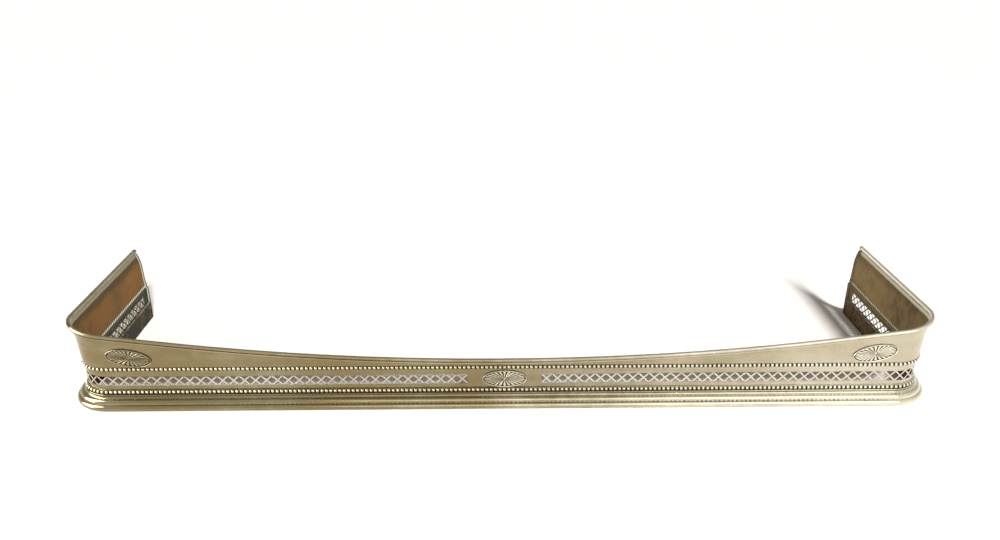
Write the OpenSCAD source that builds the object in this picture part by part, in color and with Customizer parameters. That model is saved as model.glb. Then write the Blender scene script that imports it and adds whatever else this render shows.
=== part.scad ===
// Swept fire fender: a low three-sided kerb for a hearth, open at the back.
// Millimetres. X runs along the front, -Y faces the room and +Z is up.
// The origin is on the floor, under the middle of the fender's overall width and depth.
// Sections are drawn as [u, z]: u is how far a point stands out from the neck's outer face.

/* [Overall] */
// Width over the foot of the plinth
overall_w = 1220; // [900:10:1500]
// Depth from the front of the foot to the ends of the returns
overall_d = 300; // [240:5:420]
// Height of the rim along the returns
rim_h = 123; // [116:1:140]
// Height of the rim at the middle of the front
dip_h = 72; // [71:1:100]
// Power of the curve by which the rim rises from the middle to the corners
sweep_power = 2.05; // [1.6:0.05:3]
// Radius of the neck's outer face round each front corner
corner_r = 43; // [36:1:60]
// Thickness of the pressed brass sheet
sheet_t = 0.9; // [0.7:0.1:1.1]

/* [Plinth] */
// How far the foot stands out from the neck
foot_out = 17.5; // [16:0.5:20]
// Radius under the foot's nose
nose_low_r = 3.5; // [2.5:0.1:4.5]
// Radius over the foot's nose
nose_high_r = 5.1; // [4.2:0.1:5.5]
// Radius of the convex shoulder above the foot
shoulder_r = 5.4; // [4.8:0.1:5.6]
// How far the shoulder is set back from the foot
shoulder_back = 4.5; // [4:0.1:4.8]
// Height at which the plinth meets the gallery
plinth_h = 27; // [26.5:0.5:30]
// Width of the flange turned in under the frame
flange_w = 11; // [8:0.5:12]

/* [Gallery] */
// Height of the gallery strip
gallery_h = 27; // [26.5:0.5:32]
// Height of the band of lattice
lattice_h = 14.7; // [12:0.1:16]
// Plain strip under the lattice
lattice_margin = 4.8; // [4:0.1:6]
// Length of one cell of the lattice
lattice_pitch = 15.1; // [13:0.1:18]
// Width of a lattice bar
bar_w = 2.2; // [1.6:0.1:3]
// Plain length at the middle of the front, at least
plain_middle = 100; // [80:5:160]
// Plain length at the end of each return, at least
plain_end = 18; // [14:1:30]

/* [Beads] */
// Diameter of a bead
bead_d = 5.4; // [4.4:0.1:5.6]
// Spacing of the beads
bead_pitch = 6.2; // [6:0.1:8]
// How far the face behind the beads stands out from the neck
bead_seat_out = 2; // [1.5:0.1:2.4]
// How deep a bead is sunk into that face
bead_sink = 0.4; // [0.2:0.1:0.5]

/* [Frieze] */
// Height of the frieze's upright part above the gallery
frieze_rise = 39; // [36:1:42]
// How far the frieze's upright part leans out
frieze_lean = 1.6; // [0.8:0.1:2.5]
// Radius of the flare under the rim
flare_r = 64; // [56:1:90]

/* [Rim] */
// Diameter of the rolled rim
rim_d = 6.2; // [5.8:0.1:7]
// Wall of the rolled rim
rim_wall = 0.6; // [0.5:0.1:0.7]
// How far the sheet's edge enters the roll
rim_bite = 0.7; // [0.6:0.1:0.8]
// Diameter of the wire inside the roll
wire_d = 4.2; // [3.4:0.1:4.4]
// Clearance between pieces that fit into each other
fit_gap = 0.3; // [0.2:0.05:0.4]

/* [Paterae] */
// Length of a patera
patera_l = 62; // [50:1:66]
// Height of a patera
patera_w = 26; // [22:0.5:26]
// Distance of each end patera's centre from the start of the corner
patera_in = 36; // [34:1:80]
// Angle by which the end paterae rise towards the corners
patera_tilt = 10.5; // [0:0.5:12]
// Gap filled by solder behind a patera
solder_gap = 0.1; // [0.05:0.05:0.3]
// Thickness of a patera's back plate
patera_t = 1; // [0.8:0.1:1.5]
// Height of a patera's raised border and boss
patera_rise = 2.4; // [2:0.1:3]
// Width of a patera's raised border
patera_border = 1.5; // [1:0.1:2]
// Gap between the flutes and that border
flute_gap = 0.5; // [0.3:0.1:0.8]
// Number of flutes in a patera
flute_n = 28; // [16:2:36]

/* [Iron frame] */
// Thickness of the frame's angle iron
iron_t = 2; // [1.5:0.1:2.5]
// Height by which the frame laps up behind the gallery
frame_lap = 3; // [2:0.5:3.5]
// Width of the strip along the back edge of each return
end_strip_w = 4; // [3:0.5:8]
// Thickness of the strips and plates at the ends
end_t = 1.5; // [1:0.1:2]
// Length of the tab by which an end plate is riveted
tab_l = 18; // [16:1:24]
// Height of the rivets
rivet_z = 14.5; // [12:0.1:15]
// Distance of the rivets from the ends of the returns
rivet_in = 12; // [8:0.5:14]
// Diameter of a rivet's shank
rivet_d = 3; // [2.5:0.1:4]

/* [Hidden] */

BRASS = [0.72, 0.62, 0.36];
POLISHED = [0.80, 0.71, 0.44];
IRON = [0.24, 0.19, 0.16];

// Plan
neck_half = overall_w / 2 - foot_out;
front_y = foot_out - overall_d / 2;
back_y = overall_d / 2;
straight_half = neck_half - corner_r;
return_l = back_y - front_y - corner_r;

// Heights
gallery_top = plinth_h + gallery_h;
lattice_z = plinth_h + lattice_margin;
frame_top = plinth_h + frame_lap;
lap_h = 0.6;
low_cove_h = 0.8;
high_cove_h = 1.2;
bead_r = bead_d / 2;
seat_margin = 0.2;
seat_half = bead_r + seat_margin;
low_bead_z = plinth_h - lap_h - low_cove_h - seat_half;
high_bead_z = gallery_top + lap_h + high_cove_h + seat_half;
quirk = [0.5, 0.6];
lean_z = high_bead_z + seat_half + quirk[1];
flare_z = gallery_top + frieze_rise;

// Rim
rim_r = rim_d / 2;
rim_reach = rim_r - rim_bite;
rim_sides = 18;
wire_sides = 8;
front_steps = 44;
corner_steps = 12;

/* Flat curves */

function arc(centre, r, from, to, steps) =
    [for (i = [0:steps]) let (a = from + (to - from) * i / steps) centre + r * [cos(a), sin(a)]];

// A quarter of an ellipse that leaves a point level and reaches a higher one upright
function hollow(from, to, steps) = [
    for (i = [1:steps])
        let (a = 90 * i / steps)
        [from[0] + (to[0] - from[0]) * sin(a), to[1] + (from[1] - to[1]) * cos(a)]
];

function unit(v) = v / norm(v);

function left_of(v) = [-v[1], v[0]];

// The direction from point i of a path to the next, held at the path's last point
function heading(path, i) = unit(path[min(i + 1, len(path) - 1)] - path[min(i, len(path) - 2)]);

// A path moved to its left by a distance, with mitred corners
function inset(path, distance) = [
    for (i = [0:len(path) - 1])
        let (before = left_of(heading(path, max(i - 1, 0))), after = left_of(heading(path, i)))
        let (across = unit(before + after))
        path[i] + across * distance / (across * after)
];

function reversed(path) = [for (i = [len(path) - 1:-1:0]) path[i]];

// The closed outline of a sheet whose outer face follows a path
function sheet_outline(path, inner = sheet_t, outer = 0) =
    concat(inset(path, outer), reversed(inset(path, inner)));

/* Sections */

// The frieze leans out a little, then flares along an arc
lean_angle = atan(frieze_lean / (flare_z - lean_z));
lean_foot = bead_seat_out + quirk[0];
flare_centre = [lean_foot + frieze_lean + flare_r * cos(lean_angle), flare_z - flare_r * sin(lean_angle)];

// The angle between the sheet and the upright, at a height in the frieze
function flare_angle(z) = z <= flare_z ? lean_angle : asin((z - flare_centre[1]) / flare_r);

// How far the frieze's outer face stands out, at a height
function flare_out(z) = z <= flare_z
    ? lean_foot + max(z - lean_z, 0) * tan(lean_angle)
    : flare_centre[0] - flare_r * cos(flare_angle(z));

// The height of the sheet's top edge under a rim of a given height
function edge_z(top_z) = top_z - rim_r - rim_reach;

// The centre of the roll's section, right above that edge
function roll_centre(top_z) = [flare_out(edge_z(top_z)) - sheet_t / 2, top_z - rim_r];

function frieze_path(top_z) = concat(
    [
        [0, gallery_top],
        [0, gallery_top + lap_h],
        [bead_seat_out, gallery_top + lap_h + high_cove_h],
        [bead_seat_out, high_bead_z + seat_half],
        [lean_foot, lean_z],
        [flare_out(flare_z), flare_z]
    ],
    [
        for (i = [1:8])
            let (z = flare_z + (top_z - flare_z) * i / 8)
            [flare_out(z), z]
    ]
);

// The foot's nose, the shoulder, the hollow and the fillet under the beads, from the floor up
waist_h = 0.8;
fillet_w = 2.8;
fillet_h = 1.2;
shoulder_centre = [foot_out - shoulder_back - shoulder_r, nose_low_r + nose_high_r + waist_h];
shoulder = arc(shoulder_centre, shoulder_r, 0, 80, 6);
ledge_z = low_bead_z - seat_half;
hollow_top = [bead_seat_out + fillet_w, ledge_z - fillet_h];

plinth_path = concat(
    [[foot_out - nose_low_r - flange_w, 0]],
    arc([foot_out - nose_low_r, nose_low_r], nose_low_r, -90, 0, 5),
    arc([foot_out - nose_high_r, nose_low_r], nose_high_r, 15, 80, 5),
    shoulder,
    hollow(shoulder[len(shoulder) - 1], hollow_top, 5),
    [
        [hollow_top[0], ledge_z],
        [bead_seat_out, ledge_z],
        [bead_seat_out, low_bead_z + seat_half],
        [0, plinth_h - lap_h],
        [0, plinth_h]
    ]
);

gallery_path = [[0, plinth_h], [0, gallery_top]];

// The angle iron: a leg on the flange and a leg up behind the gallery
frame_in = -sheet_t - iron_t;
leg_out = foot_out - nose_low_r - fit_gap;
leg_top = sheet_t + iron_t;
frame_outline = [
    [frame_in, sheet_t],
    [leg_out, sheet_t],
    [leg_out, leg_top],
    [-sheet_t, leg_top],
    [-sheet_t, frame_top],
    [frame_in, frame_top]
];

// The roll's section: a ring with a slot at its foot for the sheet's edge
slot_angle = asin((sheet_t + fit_gap) / rim_r);

function roll_outline(top_z) = concat(
    arc(roll_centre(top_z), rim_r, slot_angle - 90, 270 - slot_angle, rim_sides),
    arc(roll_centre(top_z), rim_r - rim_wall, 270 - slot_angle, slot_angle - 90, rim_sides)
);

/* Runs: a section carried along the front, a return or round a corner */

module along_front() {
    translate([0, front_y, 0])
    rotate([90, 0, -90])
    linear_extrude(height = 2 * straight_half, center = true)
    children();
}

// Carries a section along a return from one distance behind the corner to another
module along_return(side, from, to) {
    translate([side * neck_half, front_y + corner_r + (side < 0 ? from : to), 0])
    rotate([90, 0, side < 0 ? 180 : 0])
    linear_extrude(height = to - from)
    children();
}

module round_corner(side) {
    translate([side * straight_half, front_y + corner_r, 0])
    rotate([0, 0, side < 0 ? 180 : 270])
    rotate_extrude(angle = 90, $fn = 96)
    translate([corner_r, 0])
    children();
}

/* Sweep of the front */

full_x = neck_half + roll_centre(rim_h)[0];

// The height of the rim at a distance from the middle
function rim_top(x) = dip_h + (rim_h - dip_h) * pow(min(abs(x) / full_x, 1), sweep_power);

// All that lies under the sheet's swept top edge, as seen from the front
module under_sweep() {
    steps = 60;
    reach = full_x + rim_d;
    rotate([90, 0, 0])
    linear_extrude(height = overall_d, center = true)
    polygon(concat(
        [[reach, 0], [reach, edge_z(rim_h)]],
        [for (i = [0:steps]) let (x = full_x * (1 - 2 * i / steps)) [x, edge_z(rim_top(x))]],
        [[-reach, edge_z(rim_h)], [-reach, 0]]
    ));
}

// Stations along the rim. Each is [point on the neck line, outward direction, rim height].
front_stations = [
    for (i = [0:front_steps])
        let (x = straight_half * (2 * i / front_steps - 1))
        [[x, front_y], [0, -1], rim_top(x)]
];

function corner_stations(side) = [
    for (i = [0:corner_steps])
        let (a = 90 * i / corner_steps, outward = [side * sin(a), -cos(a)])
        let (x = straight_half + (full_x - straight_half) * sin(a))
        [[side * straight_half, front_y + corner_r] + corner_r * outward, outward, rim_top(x)]
];

function return_end(side) = [[side * neck_half, back_y], [side, 0], rim_h];

// A section point [u, z] set out at a station
function at_station(station, point) =
    [station[0][0] + station[1][0] * point[0], station[0][1] + station[1][1] * point[0], point[1]];

// A closed skin over rings of points, with flat ends
module skin(rings) {
    m = len(rings);
    n = len(rings[0]);
    points = [for (ring = rings) each ring];
    sides = [
        for (i = [0:m - 2], j = [0:n - 1])
            let (a = i * n + j, b = i * n + (j + 1) % n)
            each [[a, b, b + n], [a, b + n, a + n]]
    ];
    first_cap = [[for (j = [n - 1:-1:0]) j]];
    last_cap = [[for (j = [0:n - 1]) (m - 1) * n + j]];
    polyhedron(points = points, faces = concat(sides, first_cap, last_cap), convexity = 6);
}

module roll_along(stations) {
    skin([for (s = stations) [for (p = roll_outline(s[2])) at_station(s, p)]]);
}

/* Beads */

// A half round bead whose dome points up
module bead() {
    rotate_extrude($fn = 24)
    intersection() {
        circle(r = bead_r, $fn = 24);
        square(bead_r);
    }
}

module front_beads(z) {
    count = round(2 * straight_half / bead_pitch);
    pitch = 2 * straight_half / count;
    for (i = [0:count - 1])
        translate([(i + 0.5) * pitch - straight_half, front_y - bead_seat_out + bead_sink, z])
        rotate([90, 0, 0])
        bead();
}

module return_beads(side, z) {
    count = round(return_l / bead_pitch);
    pitch = return_l / count;
    for (i = [0:count - 1])
        translate([side * (neck_half + bead_seat_out - bead_sink), back_y - (i + 0.5) * pitch, z])
        rotate([0, side * 90, 0])
        bead();
}

module corner_beads(side, z) {
    seat_r = corner_r + bead_seat_out - bead_sink;
    count = round(PI / 2 * seat_r / bead_pitch);
    for (i = [0:count - 1])
        translate([side * straight_half, front_y + corner_r, z])
        rotate([0, 0, (side < 0 ? 180 : 270) + (i + 0.5) * 90 / count])
        translate([seat_r, 0, 0])
        rotate([0, 90, 0])
        bead();
}

/* Lattice: diamonds on whole cells, and pairs of triangles between them */

front_cells = floor((straight_half - plain_middle / 2) / lattice_pitch);
corner_cells = round(PI / 2 * corner_r / lattice_pitch * 2) / 2;
corner_pitch = PI / 2 * corner_r / corner_cells;
return_cells = floor((return_l - plain_end) / lattice_pitch * 2) / 2;

module diamond(pitch) {
    bar_angle = atan(lattice_h / pitch);
    half_l = pitch / 2 - bar_w / 2 / sin(bar_angle);
    half_h = lattice_h / 2 - bar_w / 2 / cos(bar_angle);
    translate([0, lattice_h / 2])
    polygon([[half_l, 0], [0, half_h], [-half_l, 0], [0, -half_h]]);
}

module triangle_pair(pitch) {
    bar_angle = atan(lattice_h / pitch);
    half_l = pitch / 2 - bar_w / 2 / sin(bar_angle);
    tip = lattice_h / 2 - bar_w / 2 / cos(bar_angle);
    polygon([[half_l, 0], [0, tip], [-half_l, 0]]);
    polygon([[half_l, lattice_h], [-half_l, lattice_h], [0, lattice_h - tip]]);
}

// The openings of a flat length of lattice, cut off square at its first and last cell
module lattice(pitch, first, last) {
    intersection() {
        translate([first * pitch, 0])
        square([(last - first) * pitch, lattice_h]);
        union() {
            for (cell = [floor(first):ceil(last)])
                translate([cell * pitch, 0])
                diamond(pitch);
            for (cell = [floor(first):ceil(last)])
                translate([(cell + 0.5) * pitch, 0])
                triangle_pair(pitch);
        }
    }
}

/* Frieze */

module front_frieze() {
    color(BRASS) {
        intersection() {
            along_front() polygon(sheet_outline(frieze_path(edge_z(rim_h))));
            under_sweep();
        }
        front_beads(high_bead_z);
    }
}

module return_frieze(side) {
    color(BRASS) {
        along_return(side, 0, return_l) polygon(sheet_outline(frieze_path(edge_z(rim_h))));
        return_beads(side, high_bead_z);
    }
}

module corner_frieze(side) {
    color(BRASS) {
        intersection() {
            round_corner(side) polygon(sheet_outline(frieze_path(edge_z(rim_h))));
            under_sweep();
        }
        corner_beads(side, high_bead_z);
    }
}

/* Gallery */

module front_gallery() {
    color(BRASS)
    translate([0, front_y, 0])
    rotate([90, 0, 0])
    translate([0, 0, -sheet_t])
    linear_extrude(height = sheet_t)
    difference() {
        translate([-straight_half, plinth_h])
        square([2 * straight_half, gallery_h]);
        for (side = [-1, 1])
            mirror([side < 0 ? 1 : 0, 0])
            translate([straight_half - front_cells * lattice_pitch, lattice_z])
            lattice(lattice_pitch, 0, front_cells);
    }
}

module return_gallery(side) {
    first = corner_cells + front_cells;
    color(BRASS)
    translate([side * neck_half, front_y + corner_r, 0])
    rotate([90, 0, 90])
    translate([0, 0, side < 0 ? 0 : -sheet_t])
    linear_extrude(height = sheet_t)
    difference() {
        translate([0, plinth_h])
        square([return_l, gallery_h]);
        translate([-first * lattice_pitch, lattice_z])
        lattice(lattice_pitch, first, first + return_cells);
    }
}

module corner_gallery(side) {
    color(BRASS)
    difference() {
        round_corner(side)
        polygon(sheet_outline(gallery_path));
        for (cell = [0:0.5:corner_cells])
            translate([side * straight_half, front_y + corner_r, lattice_z])
            rotate([0, 0, 270 + side * cell * 90 / corner_cells])
            translate([corner_r - 2 * sheet_t, 0, 0])
            rotate([90, 0, 90])
            linear_extrude(height = 3 * sheet_t)
            if (cell == floor(cell))
                diamond(corner_pitch);
            else
                triangle_pair(corner_pitch);
    }
}

/* Plinth */

module front_plinth() {
    color(BRASS) {
        along_front() polygon(sheet_outline(plinth_path));
        front_beads(low_bead_z);
    }
}

module return_plinth(side) {
    color(BRASS) {
        along_return(side, 0, return_l) polygon(sheet_outline(plinth_path));
        return_beads(side, low_bead_z);
    }
}

module corner_plinth(side) {
    color(BRASS) {
        round_corner(side) polygon(sheet_outline(plinth_path));
        corner_beads(side, low_bead_z);
    }
}

/* Rim */

module front_rim() {
    color(POLISHED)
    roll_along(front_stations);
}

module return_rim(side) {
    color(POLISHED)
    along_return(side, 0, return_l)
    polygon(roll_outline(rim_h));
}

module corner_rim(side) {
    color(POLISHED)
    mirror([side < 0 ? 1 : 0, 0, 0])
    roll_along(corner_stations(1));
}

// One wire bent round the whole rim, inside the roll
module rim_wire() {
    left = reversed(concat(corner_stations(-1), [return_end(-1)]));
    right = concat(corner_stations(1), [return_end(1)]);
    front = [for (i = [1:front_steps - 1]) front_stations[i]];
    color(IRON)
    skin([
        for (s = concat(left, front, right)) [
            for (j = [0:wire_sides - 1])
                let (a = 360 * j / wire_sides)
                at_station(s, roll_centre(s[2]) + wire_d / 2 * [cos(a), sin(a)])
        ]
    ]);
}

/* Iron frame */

module front_frame() {
    color(IRON)
    along_front()
    polygon(frame_outline);
}

module return_frame(side) {
    color(IRON)
    difference() {
        along_return(side, 0, return_l) polygon(frame_outline);
        rivet_hole(side);
    }
}

module corner_frame(side) {
    color(IRON)
    round_corner(side)
    polygon(frame_outline);
}

/* Ends of the returns */

// A strip inside the back edge of a return, which stands on the frame and ends under the rim
module end_strip(side) {
    path = concat([[0, frame_top]], frieze_path(rim_h - rim_d - end_t));
    color(IRON)
    along_return(side, return_l - end_strip_w, return_l)
    polygon(sheet_outline(path, sheet_t + fit_gap + end_t, sheet_t + fit_gap));
}

// A plate in the hollow of the plinth, with a tab along the frame
module end_plate(side) {
    plate_h = ledge_z - 2 * sheet_t - leg_top;
    color(IRON)
    difference() {
        union() {
            along_return(side, return_l - end_t, return_l)
            intersection() {
                polygon(concat(inset(plinth_path, sheet_t + fit_gap), [[-sheet_t - fit_gap, 0]]));
                translate([-sheet_t, leg_top])
                square([foot_out, plate_h]);
            }
            along_return(side, return_l - tab_l, return_l)
            translate([-sheet_t, leg_top])
            square([end_t, plate_h]);
        }
        rivet_hole(side);
    }
}

rivet_y = back_y - rivet_in;
rivet_grip = iron_t + end_t;

module rivet_hole(side) {
    translate([side * (neck_half - sheet_t), rivet_y, rivet_z])
    rotate([0, 90, 0])
    cylinder(d = rivet_d + fit_gap, h = 4 * rivet_grip, center = true, $fn = 32);
}

// A round head inside the return, a shank through frame and tab, and a flat head behind
module rivet(side) {
    translate([side * (neck_half - sheet_t - iron_t), rivet_y, rivet_z])
    rotate([0, side * 90, 0]) {
        cylinder(d = rivet_d, h = rivet_grip, $fn = 32);
        translate([0, 0, rivet_grip])
        cylinder(d = 1.6 * rivet_d, h = 0.8, $fn = 32);
        translate([0, 0, -0.35 * rivet_d])
        cylinder(d1 = 1.2 * rivet_d, d2 = 2 * rivet_d, h = 0.35 * rivet_d, $fn = 32);
    }
}

module end_rivets() {
    color(IRON) {
        rivet(-1);
        rivet(1);
    }
}

/* Paterae */

// A point of an ellipse, given its half length and half height
function on_oval(half, angle) = [half[0] * cos(angle), half[1] * sin(angle)];

patera_half = [patera_l, patera_w] / 2;
flute_end_half = patera_half - [1, 1] * (patera_border + flute_gap);
flute_start_half = 0.3 * patera_half;
boss_half = 0.24 * patera_half;

module oval(half) {
    polygon([for (i = [0:59]) on_oval(half, 6 * i)]);
}

// An oval plate with a raised border, flutes that spread from the middle, and a boss
module patera() {
    half_flute = 90 / flute_n;
    linear_extrude(height = patera_t)
    oval(patera_half);
    linear_extrude(height = patera_rise)
    difference() {
        oval(patera_half);
        oval(patera_half - [1, 1] * patera_border);
    }
    linear_extrude(height = (patera_t + patera_rise) / 2)
    for (i = [0:flute_n - 1])
        let (a = 360 * (i + 0.5) / flute_n)
        polygon([
            on_oval(flute_start_half, a - half_flute),
            on_oval(flute_end_half - [1, 1], a - 1.3 * half_flute),
            on_oval(flute_end_half, a),
            on_oval(flute_end_half - [1, 1], a + 1.3 * half_flute),
            on_oval(flute_start_half, a + half_flute)
        ]);
    linear_extrude(height = patera_rise)
    oval(boss_half);
}

module end_patera(side) {
    z = (lean_z + flare_z) / 2;
    color(POLISHED)
    translate([side * (straight_half - patera_in), front_y - flare_out(z) - solder_gap, z])
    rotate([90 + lean_angle, 0, 0])
    rotate([0, 0, side * patera_tilt])
    patera();
}

module centre_patera() {
    color(POLISHED)
    translate([0, front_y - solder_gap, plinth_h - lap_h / 2 + patera_w / 2])
    rotate([90, 0, 0])
    patera();
}

front_frieze();
return_frieze(-1);  // left_frieze
return_frieze(1);  // right_frieze
corner_frieze(-1);  // left_corner_frieze
corner_frieze(1);  // right_corner_frieze
front_gallery();
return_gallery(-1);  // left_gallery
return_gallery(1);  // right_gallery
corner_gallery(-1);  // left_corner_gallery
corner_gallery(1);  // right_corner_gallery
front_plinth();
return_plinth(-1);  // left_plinth
return_plinth(1);  // right_plinth
corner_plinth(-1);  // left_corner_plinth
corner_plinth(1);  // right_corner_plinth
front_rim();
return_rim(-1);  // left_rim
return_rim(1);  // right_rim
corner_rim(-1);  // left_corner_rim
corner_rim(1);  // right_corner_rim
rim_wire();
front_frame();
return_frame(-1);  // left_frame
return_frame(1);  // right_frame
corner_frame(-1);  // left_corner_frame
corner_frame(1);  // right_corner_frame
end_strip(-1);  // left_end_strip
end_strip(1);  // right_end_strip
end_plate(-1);  // left_end_plate
end_plate(1);  // right_end_plate
end_rivets();
end_patera(-1);  // left_patera
centre_patera();
end_patera(1);  // right_patera
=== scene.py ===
"""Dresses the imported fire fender.

Sections are drawn in millimetres as (u, z), where u is how far a point stands out from the
neck of the fender, and are carried round its plan. Finished meshes are in metres.
"""

import logging
import math
from abc import ABC, abstractmethod
from dataclasses import dataclass
from enum import Enum
from typing import Iterable, Sequence

import bmesh
import bpy
from bmesh.types import BMEdge, BMesh, BMFace, BMVert
from mathutils import Matrix, Vector


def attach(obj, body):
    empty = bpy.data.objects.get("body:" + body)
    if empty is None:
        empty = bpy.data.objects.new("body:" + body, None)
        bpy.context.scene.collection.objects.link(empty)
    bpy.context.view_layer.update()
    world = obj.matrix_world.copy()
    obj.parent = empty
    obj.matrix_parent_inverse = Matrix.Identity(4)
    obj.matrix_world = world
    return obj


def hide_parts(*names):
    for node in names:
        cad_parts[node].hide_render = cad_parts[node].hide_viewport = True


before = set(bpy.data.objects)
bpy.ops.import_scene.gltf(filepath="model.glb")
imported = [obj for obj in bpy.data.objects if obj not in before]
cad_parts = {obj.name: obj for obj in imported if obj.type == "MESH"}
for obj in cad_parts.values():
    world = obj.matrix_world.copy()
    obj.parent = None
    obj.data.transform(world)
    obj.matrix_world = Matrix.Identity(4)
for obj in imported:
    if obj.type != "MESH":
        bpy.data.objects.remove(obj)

LOG = logging.getLogger("fender")
MM = 0.001
# The pitch that the rows of beads aim at, and the one they come out at along the front.
BEAD_PITCH = 6.2
BEAD_STEP = 6.209
LOWER_BEADS_Z = 22.7
UPPER_BEADS_Z = 58.7
Colour = tuple[float, float, float]
Pair = tuple[Colour, Colour]
Point = tuple[float, float]


class Side(Enum):
    """The left and the right of the fender, as seen from the room."""

    LEFT = -1
    RIGHT = 1


class Face(Enum):
    """The two faces of a sheet, by their place in a piece's material slots."""

    OUTER = 0
    INNER = 1


# ---------------------------------------------------------------- plan


@dataclass(frozen=True)
class Station:
    """A place along the fender's neck.

    Attributes:
        foot: The point of the neck line.
        outward: The unit vector that points away from the hearth.
        along: The distance along the neck from the middle of the front.
        rim: The height of the rim's top.
    """

    foot: Vector
    outward: Vector
    along: float
    rim: float

    def at(self, u: float, z: float) -> Vector:
        """Returns the point of a section here."""
        return Vector((self.foot.x + self.outward.x * u, self.foot.y + self.outward.y * u, z))


@dataclass(frozen=True)
class Plan:
    """The fender's plan, its swept rim line and the face of its frieze, in millimetres."""

    neck_half: float = 592.5
    front_y: float = -132.5
    back_y: float = 150.0
    corner_r: float = 43.0
    rim_h: float = 123.0
    dip_h: float = 72.0
    sweep_power: float = 2.05
    roll_r: float = 3.1
    roll_bite: float = 0.7
    sheet_t: float = 0.9
    lean_foot: float = 2.5
    lean_out: float = 1.6
    lean_z: float = 62.2
    flare_z: float = 93.0
    flare_r: float = 64.0

    @property
    def straight_half(self) -> float:
        """Half the length of the straight front."""
        return self.neck_half - self.corner_r

    @property
    def corner_y(self) -> float:
        """The Y of the corners' centres, where the returns start."""
        return self.front_y + self.corner_r

    @property
    def return_l(self) -> float:
        """The length of a return behind its corner."""
        return self.back_y - self.corner_y

    @property
    def corner_l(self) -> float:
        """The length of the neck round a corner."""
        return self.corner_r * math.pi / 2

    @property
    def lean_angle(self) -> float:
        """The angle by which the frieze leans out."""
        return math.atan(self.lean_out / (self.flare_z - self.lean_z))

    def flare_angle(self, z: float) -> float:
        """Finds how far the frieze leans at a height.

        Args:
            z: The height.

        Returns:
            The angle between the frieze and the upright.
        """
        if z <= self.flare_z:
            return self.lean_angle
        sine = (z - self.flare_z) / self.flare_r + math.sin(self.lean_angle)
        return math.asin(min(sine, 1.0))

    def flare_out(self, z: float) -> float:
        """Finds how far the frieze's face stands out at a height.

        Args:
            z: The height.

        Returns:
            The distance from the neck.
        """
        if z <= self.flare_z:
            return self.lean_foot + max(z - self.lean_z, 0.0) * math.tan(self.lean_angle)
        turned = math.cos(self.lean_angle) - math.cos(self.flare_angle(z))
        return self.lean_foot + self.lean_out + self.flare_r * turned

    def edge_z(self, rim: float) -> float:
        """Returns the height of the sheet's edge inside a rim of a given height."""
        return rim - 2 * self.roll_r + self.roll_bite

    def roll_centre(self, rim: float) -> Point:
        """Returns the centre of the roll's section under a given top."""
        return self.flare_out(self.edge_z(rim)) - self.sheet_t / 2, rim - self.roll_r

    def rim_top(self, x: float) -> float:
        """Finds the height of the rim's top.

        Args:
            x: The distance from the middle of the front.

        Returns:
            The height there.
        """
        full_x = self.neck_half + self.roll_centre(self.rim_h)[0]
        share = min(abs(x) / full_x, 1.0)
        return self.dip_h + (self.rim_h - self.dip_h) * share**self.sweep_power

    def station(self, x: float, y: float) -> Station:
        """Finds the place along the neck that a point belongs to.

        Args:
            x: The point's X.
            y: The point's Y.

        Returns:
            The nearest station.
        """
        side = -1.0 if x < 0 else 1.0
        if y > self.corner_y:
            along = side * (self.straight_half + self.corner_l + y - self.corner_y)
        elif abs(x) > self.straight_half:
            angle = math.atan2(abs(x) - self.straight_half, self.corner_y - y)
            along = side * (self.straight_half + self.corner_r * angle)
        else:
            along = x
        return self.station_at(along)

    def station_at(self, along: float) -> Station:
        """Finds a place by its distance along the neck.

        Args:
            along: The distance from the middle of the front, negative on the left.

        Returns:
            The station there.
        """
        side = -1.0 if along < 0 else 1.0
        far = abs(along)
        if far <= self.straight_half:
            foot = Vector((along, self.front_y, 0))
            return Station(foot, Vector((0, -1, 0)), along, self.rim_top(along))
        if far < self.straight_half + self.corner_l:
            angle = (far - self.straight_half) / self.corner_r
            outward = Vector((side * math.sin(angle), -math.cos(angle), 0))
            centre = Vector((side * self.straight_half, self.corner_y, 0))
            reach = self.corner_r + self.roll_centre(self.rim_h)[0]
            rim = self.rim_top(self.straight_half + reach * math.sin(angle))
            return Station(centre + self.corner_r * outward, outward, along, rim)
        y = self.corner_y + far - self.straight_half - self.corner_l
        return Station(Vector((side * self.neck_half, y, 0)), Vector((side, 0, 0)), along, self.rim_h)


PLAN = Plan()


# ---------------------------------------------------------------- shaping


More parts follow.
